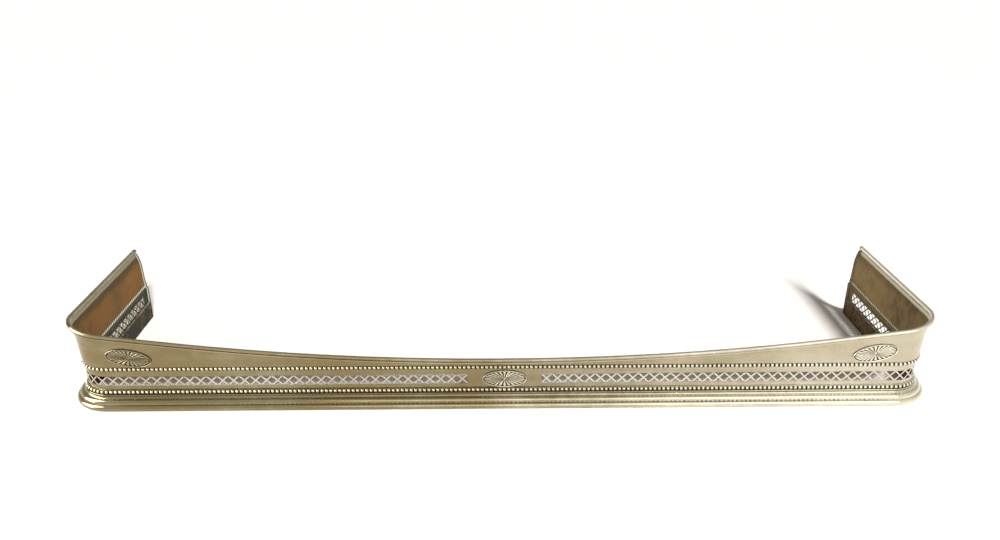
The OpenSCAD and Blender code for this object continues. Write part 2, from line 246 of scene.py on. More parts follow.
class Pen:
    """Draws a section at the end of the left return, from the floor up.

    Each point carries how grimy the metal is there, and how much shade is painted on it in creases,
    hollows and gaps.
    """

    def __init__(self, bm: BMesh, start: Point) -> None:
        """Puts the pen down.

        Args:
            bm: The mesh to draw in.
            start: The first point of the section.
        """
        self.bm = bm
        self.soot_and_shade = bm.verts.layers.float.new("grime_and_shade")
        self.grime_and_shade = 0.0
        self.tip = bm.verts.new(self._place(start))

    def _place(self, point: Point) -> Vector:
        """Returns where a section's point lies at the end of the left return."""
        return Vector((-PLAN.neck_half - point[0], PLAN.back_y, point[1]))

    def reached(self) -> Point:
        """Returns the section's point that the pen has reached."""
        return -self.tip.co.x - PLAN.neck_half, self.tip.co.z

    def _extend(self) -> None:
        """Draws an edge from the tip, as yet without a length."""
        self.tip = bmesh.ops.extrude_vert_indiv(self.bm, verts=[self.tip])["verts"][0]
        self.tip[self.soot_and_shade] = self.grime_and_shade

    def line(self, u: float, z: float, grime_and_shade: float | None = None) -> None:
        """Draws a straight line.

        Args:
            u: How far its end stands out.
            z: The height of its end.
            grime_and_shade: How dark the metal is painted from here on, where it is grimy and where shade
                falls, if it changes.
        """
        self.grime_and_shade = self.grime_and_shade if grime_and_shade is None else grime_and_shade
        self._extend()
        self.tip.co = self._place((u, z))

    def arc(self, centre: Point, turn: float, steps: int, grime_and_shade: float | None = None) -> None:
        """Draws an arc round a centre.

        Args:
            centre: The arc's centre.
            turn: The angle in degrees, anticlockwise with u to the right and z up.
            steps: How many chords it has.
            grime_and_shade: How dark the metal is painted from here on, where it is grimy and where shade
                falls, if it changes.
        """
        self.grime_and_shade = self.grime_and_shade if grime_and_shade is None else grime_and_shade
        turned = Matrix.Rotation(math.radians(turn / steps), 4, "Y")
        for _ in range(steps):
            self._extend()
            bmesh.ops.rotate(self.bm, verts=[self.tip], cent=self._place(centre), matrix=turned)


def points(geometry: Iterable[object]) -> list[BMVert]:
    """Returns the points among what an operator has made."""
    return [made for made in geometry if isinstance(made, BMVert)]


def everything(bm: BMesh) -> list[object]:
    """Returns all the points, edges and faces of a mesh."""
    return bm.verts[:] + bm.edges[:] + bm.faces[:]


def carry(bm: BMesh, front_steps: int = 120, turn_steps: int = 18, return_steps: int = 12) -> None:
    """Carries the section in a mesh from the left return's end to the right return's.

    Args:
        bm: The mesh, which holds only the section.
        front_steps: How many lengths the front has.
        turn_steps: How many lengths each corner has.
        return_steps: How many lengths each return has.
    """
    edges = bm.edges[:]

    def slide(step: Vector, count: int) -> None:
        """Extrudes the section along a line.

        Args:
            step: The way from the line's start to its end.
            count: How many lengths it has.
        """
        nonlocal edges
        for _ in range(count):
            made = bmesh.ops.extrude_edge_only(bm, edges=edges)["geom"]
            bmesh.ops.translate(bm, verts=points(made), vec=step / count)
            edges = [edge for edge in made if isinstance(edge, BMEdge)]

    def turn(side: Side) -> None:
        """Spins the section round a corner.

        Args:
            side: Which corner.
        """
        nonlocal edges
        verts = list({vert for edge in edges for vert in edge.verts})
        centre = (side.value * PLAN.straight_half, PLAN.corner_y, 0)
        made = bmesh.ops.spin(bm, geom=verts + edges, cent=centre, axis=(0, 0, 1),
                              angle=math.pi / 2, steps=turn_steps, use_merge=False)
        edges = [edge for edge in made["geom_last"] if isinstance(edge, BMEdge)]

    slide(Vector((0, -PLAN.return_l, 0)), return_steps)
    turn(Side.LEFT)
    slide(Vector((2 * PLAN.straight_half, 0, 0)), front_steps)
    turn(Side.RIGHT)
    slide(Vector((0, PLAN.return_l, 0)), return_steps)


def thicken(bm: BMesh, wall: float) -> None:
    """Gives a sheet its wall, on the side away from its face.

    Args:
        bm: The mesh, whose faces point outwards.
        wall: The wall's thickness.
    """
    bm.normal_update()
    outer = set(bm.faces)
    bmesh.ops.solidify(bm, geom=bm.faces[:], thickness=wall)
    for face in bm.faces:
        face.material_index = Face.OUTER.value if face in outer else Face.INNER.value


def turn_faces(bm: BMesh, way: Sequence[float]) -> None:
    """Makes the faces of an open sheet agree, and point one way.

    Args:
        bm: The mesh.
        way: The way that they point.
    """
    bmesh.ops.recalc_face_normals(bm, faces=bm.faces[:])
    if sum(face.normal.dot(Vector(way)) for face in bm.faces) < 0:
        bmesh.ops.reverse_faces(bm, faces=bm.faces[:])


def mark_along(bm: BMesh) -> None:
    """Writes each point's distance along the fender, and its drop below the rim.

    Args:
        bm: The mesh.
    """
    along = bm.verts.layers.float.new("along")
    drop = bm.verts.layers.float.new("drop")
    for vert in bm.verts:
        station = PLAN.station(vert.co.x, vert.co.y)
        vert[along] = station.along
        vert[drop] = station.rim - vert.co.z


def finished(bm: BMesh, name: str) -> bpy.types.Mesh:
    """Turns a mesh under construction into a finished one.

    Args:
        bm: The mesh, which is freed.
        name: The finished mesh's name.

    Returns:
        The finished mesh.
    """
    mesh = bpy.data.meshes.new(name)
    bm.to_mesh(mesh)
    bm.free()
    return mesh


def place_object(name: str, data: bpy.types.ID) -> bpy.types.Object:
    """Puts a mesh, a lamp or a camera in the scene.

    Args:
        name: The object's name.
        data: The mesh, the lamp or the camera.

    Returns:
        The object.
    """
    made = bpy.data.objects.new(name, data)
    bpy.context.scene.collection.objects.link(made)
    return made


def finish_piece(bm: BMesh, name: str, materials: Sequence[bpy.types.Material],
                 nodes: Sequence[str] = (), sharp: float = 38.0) -> bpy.types.Object:
    """Turns a mesh in millimetres into a piece that rides on the fender.

    Args:
        bm: The mesh, which is freed.
        name: The piece's name.
        materials: Its materials.
        nodes: The CAD nodes that it stands for.
        sharp: The angle in degrees from which an edge shows as sharp.

    Returns:
        The piece.
    """
    bmesh.ops.scale(bm, vec=(MM, MM, MM), verts=bm.verts[:])
    mesh = finished(bm, name)
    for material in materials:
        mesh.materials.append(material)
    mesh.shade_smooth()
    mesh.set_sharp_from_angle(angle=math.radians(sharp))
    piece = place_object(name, mesh)
    if nodes:
        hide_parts(*nodes)
    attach(piece, "root")
    LOG.info("%s: %d faces", name, len(mesh.polygons))
    return piece


def five(kind: str) -> list[str]:
    """Returns the names of the five CAD nodes of a band."""
    return [f"{run}_{kind}" for run in ("front", "left", "right", "left_corner", "right_corner")]


# ---------------------------------------------------------------- materials


class Net:
    """A node tree, with short calls for the nodes that the finishes and the studio need."""

    def __init__(self, tree: bpy.types.NodeTree) -> None:
        """Takes up a tree.

        Args:
            tree: The tree that the nodes go into.
        """
        self.tree = tree

    def node(self, kind: str, sockets: dict, **settings: object) -> bpy.types.Node:
        """Adds a node.

        Args:
            kind: The node's type.
            sockets: Values or links for its inputs, by name or place.
            settings: The node's own settings.

        Returns:
            The node.
        """
        made = self.tree.nodes.new(kind)
        for key, value in settings.items():
            setattr(made, key, value)
        for key, value in sockets.items():
            self.wire(made, key, value)
        return made

    def wire(self, node: bpy.types.Node, socket: str | int, value: object) -> None:
        """Links a result to a node's input, or sets the input's own value.

        Args:
            node: The node.
            socket: Its input, by name or place.
            value: The result or the value.
        """
        if isinstance(value, bpy.types.NodeSocket):
            self.tree.links.new(value, node.inputs[socket])
        else:
            node.inputs[socket].default_value = value

    def math(self, how: str, a: object, b: object = 0.0, c: object = 0.0) -> bpy.types.NodeSocket:
        """Returns the result of an operation on one, two or three values."""
        return self.node("ShaderNodeMath", {0: a, 1: b, 2: c}, operation=how).outputs[0]

    def times(self, first: object, *others: object) -> bpy.types.NodeSocket:
        """Multiplies values.

        Args:
            first: The first value.
            others: The other values.

        Returns:
            Their product.
        """
        for other in others:
            first = self.math("MULTIPLY", first, other)
        return first

    def minus(self, a: object, b: object) -> bpy.types.NodeSocket:
        """Returns the difference of two values."""
        return self.math("SUBTRACT", a, b)

    def weigh(self, value: object, weight: object, rest: object) -> bpy.types.NodeSocket:
        """Returns a value times a weight, plus the rest."""
        return self.math("MULTIPLY_ADD", value, weight, rest)

    def ramp(self, value: object, low: float, high: float, to_low: object = 0.0, to_high: object = 1.0,
             smooth: bool = False) -> bpy.types.NodeSocket:
        """Maps a value from one range to another.

        Args:
            value: The value.
            low: The start of its range.
            high: The end of its range.
            to_low: What it starts at then.
            to_high: What it ends at then.
            smooth: Whether it starts and ends gently.

        Returns:
            The mapped value.
        """
        sockets = {0: value, 1: low, 2: high, 3: to_low, 4: to_high}
        way = "SMOOTHSTEP" if smooth else "LINEAR"
        return self.node("ShaderNodeMapRange", sockets, interpolation_type=way).outputs[0]

    def spread(self, value: object, low: float, high: float, to_low: float = 0.0,
               to_high: float = 1.0) -> bpy.types.NodeSocket:
        """Returns a value mapped smoothly from one range to another."""
        return self.ramp(value, low, high, to_low, to_high, smooth=True)

    def between(self, value: object, rise: Point, fall: Point) -> bpy.types.NodeSocket:
        """Returns 0 before a value's rise, 1 up to its fall and 0 after it."""
        return self.times(self.spread(value, *rise), self.spread(value, *fall, 1.0, 0.0))

    def blend(self, share: object, a: object, b: object) -> bpy.types.NodeSocket:
        """Mixes two colours.

        Args:
            share: How much of the second goes in.
            a: The first colour.
            b: The second colour.

        Returns:
            The mixed colour.
        """
        sockets = {0: share}
        for key, colour in ((6, a), (7, b)):
            sockets[key] = colour if isinstance(colour, bpy.types.NodeSocket) else (*colour, 1.0)
        return self.node("ShaderNodeMix", sockets, data_type="RGBA").outputs[2]

    def seen(self) -> bpy.types.NodeSocket:
        """Tells the rays that see a thing, directly or in a gloss, from those that it lights.

        Returns:
            1 for a ray that sees it, and else 0.
        """
        path = self.node("ShaderNodeLightPath", {}).outputs
        glossy = self.math("MAXIMUM", path["Is Camera Ray"], path["Is Glossy Ray"])
        return self.math("MAXIMUM", glossy, path["Is Transmission Ray"])


class Finish(Net):
    """A material, with the patterns that old brass and iron need."""

    def __init__(self, name: str) -> None:
        """Starts a material.

        Args:
            name: The material's name.
        """
        self.material = bpy.data.materials.new(name)
        self.material.use_nodes = True
        super().__init__(self.material.node_tree)
        self.place = self.node("ShaderNodeTexCoord", {}).outputs["Object"]

    def stretch(self, x: float, y: float, z: float) -> bpy.types.NodeSocket:
        """Returns the object's coordinates, scaled along each axis."""
        return self.node("ShaderNodeMapping", {0: self.place, 3: (x, y, z)}).outputs[0]

    def noise(self, scale: float, detail: float = 3.0, rough: float = 0.55,
              vector: bpy.types.NodeSocket | None = None) -> bpy.types.NodeSocket:
        """Returns a noise of a given scale per metre."""
        sockets = {"Vector": vector or self.place, "Scale": scale, "Detail": detail}
        return self.node("ShaderNodeTexNoise", {**sockets, "Roughness": rough}).outputs[0]

    def attribute(self, name: str) -> bpy.types.NodeSocket:
        """Returns a number that is stored on the piece's points."""
        return self.node("ShaderNodeAttribute", {}, attribute_name=name).outputs["Fac"]

    def axis(self, index: int) -> bpy.types.NodeSocket:
        """Returns one of the object's coordinates, in metres."""
        return self.node("ShaderNodeSeparateXYZ", {0: self.place}).outputs[index]

    def rightward(self) -> bpy.types.NodeSocket:
        """Returns 0 at the left return and 1 at the right return."""
        return self.spread(self.axis(0), -0.5, 0.5)

    def bump(self, height: bpy.types.NodeSocket, strength: float, distance: float,
             under: bpy.types.NodeSocket | None = None) -> bpy.types.NodeSocket:
        """Makes bumps.

        Args:
            height: The height of the bumps.
            strength: How strong they are.
            distance: How high they are, in metres.
            under: The normal that they lie on, if it isn't the mesh's own.

        Returns:
            The bumpy normal.
        """
        sockets = {"Height": height, "Strength": strength, "Distance": distance}
        if under is not None:
            sockets["Normal"] = under
        return self.node("ShaderNodeBump", sockets).outputs[0]

    def shade(self, **values: object) -> bpy.types.Material:
        """Hands results to the shader.

        Args:
            values: A result or a value for each of its inputs, with _ for the blanks of its name.

        Returns:
            The material.
        """
        for name, value in values.items():
            self.wire(self.tree.nodes["Principled BSDF"], name.replace("_", " "), value)
        return self.material


@dataclass(frozen=True)
class Brass:
    """Old brass: polished, clouded with tarnish and grimy in its hollows, with shade painted in its
    hollows and creases and light from the right painted into its colour.

    Attributes:
        name: The material's name.
        bright: The colour where it is most polished.
        dull: The colour where it is tarnished.
        soot_and_shade: The colour of grimy metal, and of the shade painted in its hollows, creases and
            gaps.
        rough: The least roughness.
        waves: How strongly its surface waves.
        polish_and_light: How polished its left end is, and how much more its right end, which also paints
            the light that falls from the right.
        brightens: The two places along X, in metres, between which it grows bright, both more polished and
            with painted light from the right.
        clouds: How much the polish changes with the large clouds of tarnish.
        mottling: How much it changes with the small ones.
        streaks: How much it changes with the streaks along the fender.
        rubbed_and_sheen: The heights in millimetres between which it is brightened, partly for wear on the
            lattice's bars and partly as a painted highlight on them.
        plain: Where the plain middle of the gallery ends, which isn't rubbed, in metres.
        lip: How far under the rim's top a painted highlight line and then a painted shade line run, in
            millimetres.
        dotted: The heights in millimetres between which dark dots paint a reflection of the gaps between
            the beads.
        dots_rise: Where along the front those dots fade in, in millimetres.
        dots_fall: Where they fade out again.
    """

    name: str
    bright: Colour = (0.69, 0.63, 0.485)
    dull: Colour = (0.25, 0.200, 0.098)
    soot_and_shade: Colour = (0.035, 0.024, 0.010)
    rough: float = 0.15
    waves: float = 0.3
    polish_and_light: Point = (0.14, 0.72)
    brightens: Point = (-0.12, 0.82)
    clouds: float = 0.7
    mottling: float = 0.3
    streaks: float = 0.4
    rubbed_and_sheen: Point | None = None
    plain: Point = (0.0515, 0.0525)
    lip: float | None = None
    dotted: Point | None = None
    dots_rise: Point = (-480.0, -330.0)
    dots_fall: Point = (500.0, 545.0)

    def make(self) -> bpy.types.Material:
        """Builds the material.

        Returns:
            The material.
        """
        net = Finish(self.name)
        mottle = net.noise(scale=70.0, detail=5.0, rough=0.6)
        dirt_and_shade = self._dirt_and_shade(net, mottle)
        colour = net.blend(self._polish_and_light(net, mottle), self.dull, self.bright)
        specks = net.spread(net.noise(scale=500.0, detail=2.0), 0.66, 0.8)
        colour = net.blend(net.times(specks, 0.4), colour, self.soot_and_shade)
        rough = net.spread(mottle, 0.3, 0.7, self.rough * 1.7, self.rough)
        waves = net.bump(net.noise(scale=9.0, detail=2.0), self.waves, distance=0.003)
        dents = net.bump(net.noise(scale=60.0, detail=2.0), self.waves, distance=0.0002, under=waves)
        scratches = net.noise(scale=70.0, rough=0.6, vector=net.stretch(1.0, 1.0, 24.0))
        return net.shade(Base_Color=net.blend(dirt_and_shade, colour, self.soot_and_shade),
                         Metallic=net.spread(dirt_and_shade, 0.0, 1.0, 1.0, 0.5),
                         Roughness=net.weigh(dirt_and_shade, 0.4, rough),
                         Normal=net.bump(scratches, strength=0.05, distance=0.0002, under=dents))

    def _band(self, net: Finish, heights: Point) -> bpy.types.NodeSocket:
        """Returns 1 between two heights in millimetres, and 0 outside them."""
        rise, fall = (((height - 0.3) * MM, (height + 0.3) * MM) for height in heights)
        return net.between(net.axis(2), rise, fall)

    def _polish_and_light(self, net: Finish, mottle: bpy.types.NodeSocket) -> bpy.types.NodeSocket:
        """Maps how polished the metal is, with painted light that grows towards the right.

        Args:
            net: The material.
            mottle: Its small clouds.

        Returns:
            How polished and lit it is painted, from 0 to 1.
        """
        least, gain = self.polish_and_light
        cloud = net.minus(net.noise(scale=6.0, detail=4.0), 0.5)
        streak = net.noise(scale=5.0, detail=4.0, rough=0.6, vector=net.stretch(1.0, 1.0, 14.0))
        # Painted light from the right: the metal grows brighter along X, and also more polished.
        polish_and_light = net.weigh(net.spread(net.axis(0), *self.brightens), gain, least)
        polish_and_light = net.weigh(cloud, self.clouds, polish_and_light)
        polish_and_light = net.weigh(net.minus(mottle, 0.5), self.mottling, polish_and_light)
        polish_and_light = net.weigh(net.minus(streak, 0.5), self.streaks, polish_and_light)
        # The lattice's bars are brightened: partly wear, partly a painted highlight on their bevels.
        if self.rubbed_and_sheen:
            lattice = net.spread(net.math("ABSOLUTE", net.axis(0)), *self.plain)
            polish_and_light = net.weigh(net.times(self._band(net, self.rubbed_and_sheen), lattice), 0.5, polish_and_light)
        if self.lip:
            # A painted highlight line under the roll, and a painted shade line under that.
            drop = net.attribute("drop")
            light = net.spread(drop, self.lip + 1.5, self.lip + 2.0, 1.0, 0.0)
            dark = net.between(drop, (self.lip + 1.7, self.lip + 2.1), (self.lip + 2.5, self.lip + 3.0))
            polish_and_light = net.weigh(light, 0.22, net.weigh(dark, -0.15, polish_and_light))
        return net.spread(polish_and_light, 0.0, 1.0)

    def _dirt_and_shade(self, net: Finish, mottle: bpy.types.NodeSocket) -> bpy.types.NodeSocket:
        """Maps where the metal is grimy, with painted shade in its hollows and creases and a painted
        reflection of the gaps between the beads.

        Args:
            net: The material.
            mottle: Its small clouds.

        Returns:
            How dark it is painted, from 0 to 1.
        """
        ragged = net.weigh(net.noise(scale=160.0), 0.6, 0.5)
        ragged = net.weigh(net.noise(scale=7.0, detail=2.0), 0.4, ragged)
        # Grimy metal and painted shade, from the darkness that each piece stores on its points.
        dirt_and_shade = net.spread(net.times(net.attribute("grime_and_shade"), ragged), 0.04, 0.95)
        if self.dotted is None:
            return dirt_and_shade
        # Painted reflection: dark dots at the beads' step, mirroring the gaps between the beads.
        along = net.attribute("along")
        step = net.math("FRACT", net.math("DIVIDE", along, BEAD_STEP))
        dot = net.spread(net.math("ABSOLUTE", net.minus(step, 0.5)), 0.12, 0.3, 0.85, 0.0)
        shown = net.times(self._band(net, self.dotted), net.between(along, self.dots_rise, self.dots_fall))
        patchy = net.spread(mottle, 0.35, 0.55, 0.4, 1.0)
        return net.math("MAXIMUM", dirt_and_shade, net.times(dot, shown, patchy))


@dataclass(frozen=True)
class FriezeBack:
    """The unpolished back of the frieze, with a polished margin under the rim, painted shade in a crease
    and a band under that margin, and painted glints behind the beads.

    Attributes:
        name: The material's name.
        crease_drop: How far under the rim's top its shadowed crease reaches, in millimetres.
        margin_drop: How far under the rim's top the polish reaches, in millimetres.
        crease: The colours of that crease on the left and on the right.
        polished: The colours of that margin on the left and on the right.
        bare: The colours of the bare back on the left and on the right.
        darkening: The colour of its stains, and of the shade painted in a band under its polished margin.
        smoked: The colours of its foot on the left and on the right.
        bead: The colour of the painted glints in the hollows behind the beads.
    """

    name: str = "frieze_back"
    crease_drop: float = 6.9
    margin_drop: float = 11.4
    crease: Pair = ((0.16, 0.14, 0.085), (0.12, 0.10, 0.055))
    polished: Pair = ((0.27, 0.24, 0.15), (0.44, 0.40, 0.28))
    bare: Pair = ((0.215, 0.094, 0.012), (0.38, 0.25, 0.088))
    darkening: Colour = (0.06, 0.042, 0.02)
    smoked: Pair = ((0.045, 0.048, 0.028), (0.32, 0.25, 0.09))
    bead: Colour = (0.92, 0.87, 0.70)

    def make(self) -> bpy.types.Material:
        """Builds the material.

        Returns:
            The material.
        """
        net = Finish(self.name)
        right, mottle = net.rightward(), net.noise(scale=75.0, detail=4.0, rough=0.65)
        wander = net.times(net.minus(net.noise(scale=45.0, rough=0.65), 0.5), 14.0)
        colour = self._stained(net, mottle, wander)
        edge = net.weigh(wander, 0.1, net.attribute("drop"))
        clean = net.spread(edge, self.margin_drop - 0.5, self.margin_drop + 0.6, 1.0, 0.0)
        colour = net.blend(clean, colour, net.blend(right, *self.polished))
        crease = net.spread(edge, self.crease_drop - 0.3, self.crease_drop + 0.5, 1.0, 0.0)
        colour = net.blend(crease, colour, net.blend(right, *self.crease))
        up = net.math("DIVIDE", net.minus(net.axis(2), UPPER_BEADS_Z * MM), BEAD_PITCH * MM)
        foot = net.spread(up, 0.45, 0.6, 0.85, 0.0)
        colour = net.blend(foot, colour, net.blend(right, *self.smoked))
        dimple = self._dimple(net, up)
        # Painted highlight: the hollows behind the beads are coloured as bright glints.
        return net.shade(Base_Color=net.blend(dimple, self.bead, colour),
                         Metallic=net.spread(clean, 0.0, 1.0, 0.1, 1.0),
                         Roughness=net.spread(clean, 0.0, 1.0, 0.65, 0.3),
                         Specular_IOR_Level=0.25,
                         Normal=net.bump(dimple, 1.0, 0.0016, under=net.bump(mottle, 0.3, 0.0005)))

    def _stained(self, net: Finish, mottle: bpy.types.NodeSocket,
                 wander: bpy.types.NodeSocket) -> bpy.types.NodeSocket:
        """Stains the bare back in patches, and paints shade in a band under its polished margin.

        Args:
            net: The material.
            mottle: Its small clouds.
            wander: How far the band's edge wanders, in millimetres.

        Returns:
            The colour.
        """
        right = net.rightward()
        darkening = net.weigh(mottle, 0.5, net.times(net.noise(scale=14.0, detail=4.0, rough=0.6), 0.9))
        colour = net.blend(right, *self.bare)
        colour = net.blend(net.spread(darkening, 0.62, 1.05, 0.0, 0.8), colour, self.darkening)
        # Painted shade: a dark band under the polished margin, strongest on the left.
        under = net.math("ADD", net.attribute("drop"), wander)
        band = net.spread(under, self.margin_drop + 4.0, self.margin_drop + 14.0)
        band = net.times(net.minus(1.0, band), net.weigh(right, -0.6, 0.85))
        return net.blend(band, colour, self.darkening)

    def _dimple(self, net: Finish, up: bpy.types.NodeSocket) -> bpy.types.NodeSocket:
        """Maps the hollows behind the beads.

        Args:
            net: The material.
            up: How high a point lies over the middle of the beads, in pitches.

        Returns:
            0 in each hollow and 1 outside it.
        """
        step = net.math("ADD", net.math("DIVIDE", net.attribute("along"), BEAD_STEP), 0.5)
        across = net.minus(net.math("FRACT", step), 0.5)
        square = net.weigh(across, across, net.times(up, up))
        return net.spread(net.math("SQRT", square), 0.2, 0.52)


@dataclass(frozen=True)
class LatticeBack:
    """The back of the gallery and the plinth: smoked dark, with pale scratches.

    Attributes:
        name: The material's name.
        smoked: The colours on the left and on the right.
        scratched: The colour of its scratches.
    """

    name: str = "lattice_back"
    smoked: Pair = ((0.018, 0.022, 0.012), (0.17, 0.13, 0.05))
    scratched: Colour = (0.30, 0.29, 0.21)

    def make(self) -> bpy.types.Material:
        """Builds the material.

        Returns:
            The material.
        """
        net = Finish(self.name)
        cloud = net.noise(scale=30.0, detail=4.0, rough=0.6)
        mottle = net.noise(scale=240.0, detail=4.0, rough=0.7)
        smoked = net.blend(net.rightward(), *self.smoked)
        pale = net.spread(net.weigh(cloud, 0.4, mottle), 0.72, 0.95, 0.0, 0.6)
        return net.shade(Base_Color=net.blend(pale, smoked, self.scratched),
                         Specular_IOR_Level=0.12,
                         Roughness=net.spread(mottle, 0.3, 0.7, 0.7, 0.45),
                         Normal=net.bump(mottle, strength=0.4, distance=0.0004))


@dataclass(frozen=True)
class OldIron:
    """Dark rolled iron with rust in patches, and painted shade along its foot and at the returns' ends.

    Attributes:
        name: The material's name.
        iron: The colour of the bare iron.
        rust: The colours of its rust on the left and on the right.
        dust: The colour of the ash that lies on it.
        pale_end: The colour of a pale line along the top of the returns' ends.
        dark: The colour of the painted shade along the foot and at the returns' ends.
        top: The heights in metres over which the ash on the frame's top edge fades in and out.
        lip: The places along Y in metres over which that pale line fades in and out.
    """

    name: str = "old_iron"
    iron: Colour = (0.036, 0.032, 0.021)
    rust: Pair = ((0.33, 0.165, 0.045), (0.20, 0.125, 0.05))
    dust: Colour = (0.30, 0.27, 0.22)
    pale_end: Colour = (0.62, 0.58, 0.47)
    dark: Colour = (0.006, 0.005, 0.004)
    top: tuple[Point, Point] = ((0.0282, 0.0290), (0.0302, 0.0308))
    lip: tuple[Point, Point] = ((0.1455, 0.1459), (0.1465, 0.1469))

    def make(self) -> bpy.types.Material:
        """Builds the material.

        Returns:
            The material.
        """
        net = Finish(self.name)
        mottle = net.noise(scale=90.0, detail=5.0, rough=0.7)
        grain = net.noise(scale=600.0)
        rusty = self._rusty(net, mottle)
        colour = net.blend(rusty, self.iron, net.blend(net.rightward(), *self.rust))
        pits = net.spread(net.noise(scale=130.0, detail=4.0, rough=0.7), 0.46, 0.58, 0.0, 0.75)
        colour = net.blend(net.times(pits, net.spread(net.axis(0), 0.0, 0.5)), colour, self.iron)
        ash = net.noise(scale=160.0, detail=4.0, rough=0.7, vector=net.stretch(1.0, 1.0, 2.5))
        colour = net.blend(net.spread(ash, 0.6, 0.72, 0.0, 0.6), colour, self.dust)
        top = net.times(net.between(net.axis(2), *self.top), net.spread(mottle, 0.42, 0.52, 0.1, 0.85))
        colour = net.blend(top, colour, self.dust)
        upper = net.spread(net.axis(2), 0.029, 0.031, 0.0, 0.9)
        lip = net.times(net.between(net.axis(1), *self.lip), upper)
        colour = net.blend(lip, colour, self.pale_end)
        # Painted shade: black along the foot and at the returns' ends.
        unshaded = net.times(net.spread(net.axis(2), 0.0015, 0.004),
                               net.spread(net.axis(1), 0.1466, 0.1472, 1.0, 0.0))
        return net.shade(Base_Color=net.blend(unshaded, self.dark, colour),
                         Metallic=net.spread(rusty, 0.0, 1.0, 0.2, 0.05),
                         Specular_IOR_Level=0.1,
                         Roughness=net.spread(grain, 0.3, 0.7, 0.5, 0.85),
                         Normal=net.bump(grain, 0.3, 0.0003, under=net.bump(mottle, 0.5, 0.0008)))

    def _rusty(self, net: Finish, mottle: bpy.types.NodeSocket) -> bpy.types.NodeSocket:
        """Maps the rust, of which there is more on the right.

        Args:
            net: The material.
            mottle: Its small clouds.

        Returns:
            How rusty the iron is, from 0 to 1.
        """
        across = net.spread(net.axis(0), -0.6, 0.6, -0.12, 0.2)
        cloud = net.noise(scale=22.0, detail=5.0, rough=0.65)
        return net.spread(net.math("ADD", net.weigh(mottle, 0.5, cloud), across), 0.66, 0.95)


# ---------------------------------------------------------------- the bands


@dataclass
class Band(ABC):
    """A sheet that runs right round the fender and stands for five CAD nodes.

    Attributes:
        name: The piece's name.
        kind: The end of those nodes' names.
        slot: The name of its finish's slot, which is not used.
        sharp: The angle in degrees from which an edge shows as sharp.
    """

    name: str
    kind: str
    slot: str = "sheet_brass"
    sharp: float = 38.0

    @abstractmethod
    def sheet(self) -> BMesh:
        """Returns the sheet's mesh in millimetres, which each band makes in its own way."""

    def build(self, face: bpy.types.Material, back: bpy.types.Material) -> bpy.types.Object:
        """Makes and dresses the sheet.

        Args:
            face: The finish of its face.
            back: The finish of its back.

        Returns:
            The piece.
        """
        bm = self.sheet()
        mark_along(bm)
        return finish_piece(bm, self.name, [face, back], five(self.kind), self.sharp)


@dataclass
class BeadedBand(Band):
    """A band with an upright seat for a row of beads, and a lap that joins it to the next one."""

    seat_out: float = 2.0
    seat_half: float = 2.9
    lap: float = 0.6

    def seat(self, pen: Pen, beads_z: float, grime_and_shade: float) -> None:
        """Draws the seat, with shade painted on it that shows black between the beads.

        Args:
            pen: The pen, near the seat's lower edge.
            beads_z: The height of the beads.
            grime_and_shade: How dark the seat's upper edge is painted, for grimy metal and for shade.
        """
        pen.line(self.seat_out, beads_z - self.seat_half + 0.8, grime_and_shade=1.0)
        pen.line(self.seat_out, beads_z + self.seat_half - 1.0)
        pen.line(self.seat_out, beads_z + self.seat_half, grime_and_shade)


@dataclass
class Frieze(BeadedBand):
    """The upper sheet: it stands on the gallery, leans out and flares under the rim."""

    name: str = "frieze_sheet"
    kind: str = "frieze"
    gallery_top: float = 54.0
    rows: int = 26

    def sheet(self) -> BMesh:
        """Sweeps the sheet and cuts its edge to the rim.

        Returns:
            Its mesh.
        """
        bm = bmesh.new()
        rise = bm.verts.layers.float.new("rise")
        pen = Pen(bm, (0, self.gallery_top))
        # Darker at the lap and round the beads' seat, for grimy metal and painted shade.
        pen.line(0, self.gallery_top + self.lap, grime_and_shade=0.3)
        pen.line(self.seat_out, UPPER_BEADS_Z - self.seat_half, grime_and_shade=0.1)
        self.seat(pen, UPPER_BEADS_Z, grime_and_shade=0.3)
        pen.line(PLAN.lean_foot - 0.1, PLAN.lean_z - 0.1, grime_and_shade=0.0)
        for row in range(self.rows + 1):
            pen.line(PLAN.lean_foot, PLAN.lean_z + row)
            pen.tip[rise] = 1.0 + row / self.rows
        carry(bm)
        for vert in bm.verts:
            if vert[rise] < 1.0:
                continue
            station = PLAN.station(vert.co.x, vert.co.y)
            edge = PLAN.edge_z(station.rim)
            z = PLAN.lean_z + (vert[rise] - 1.0) * (edge - PLAN.lean_z)
            vert.co = station.at(PLAN.flare_out(z), z)
        thicken(bm, PLAN.sheet_t)
        return bm


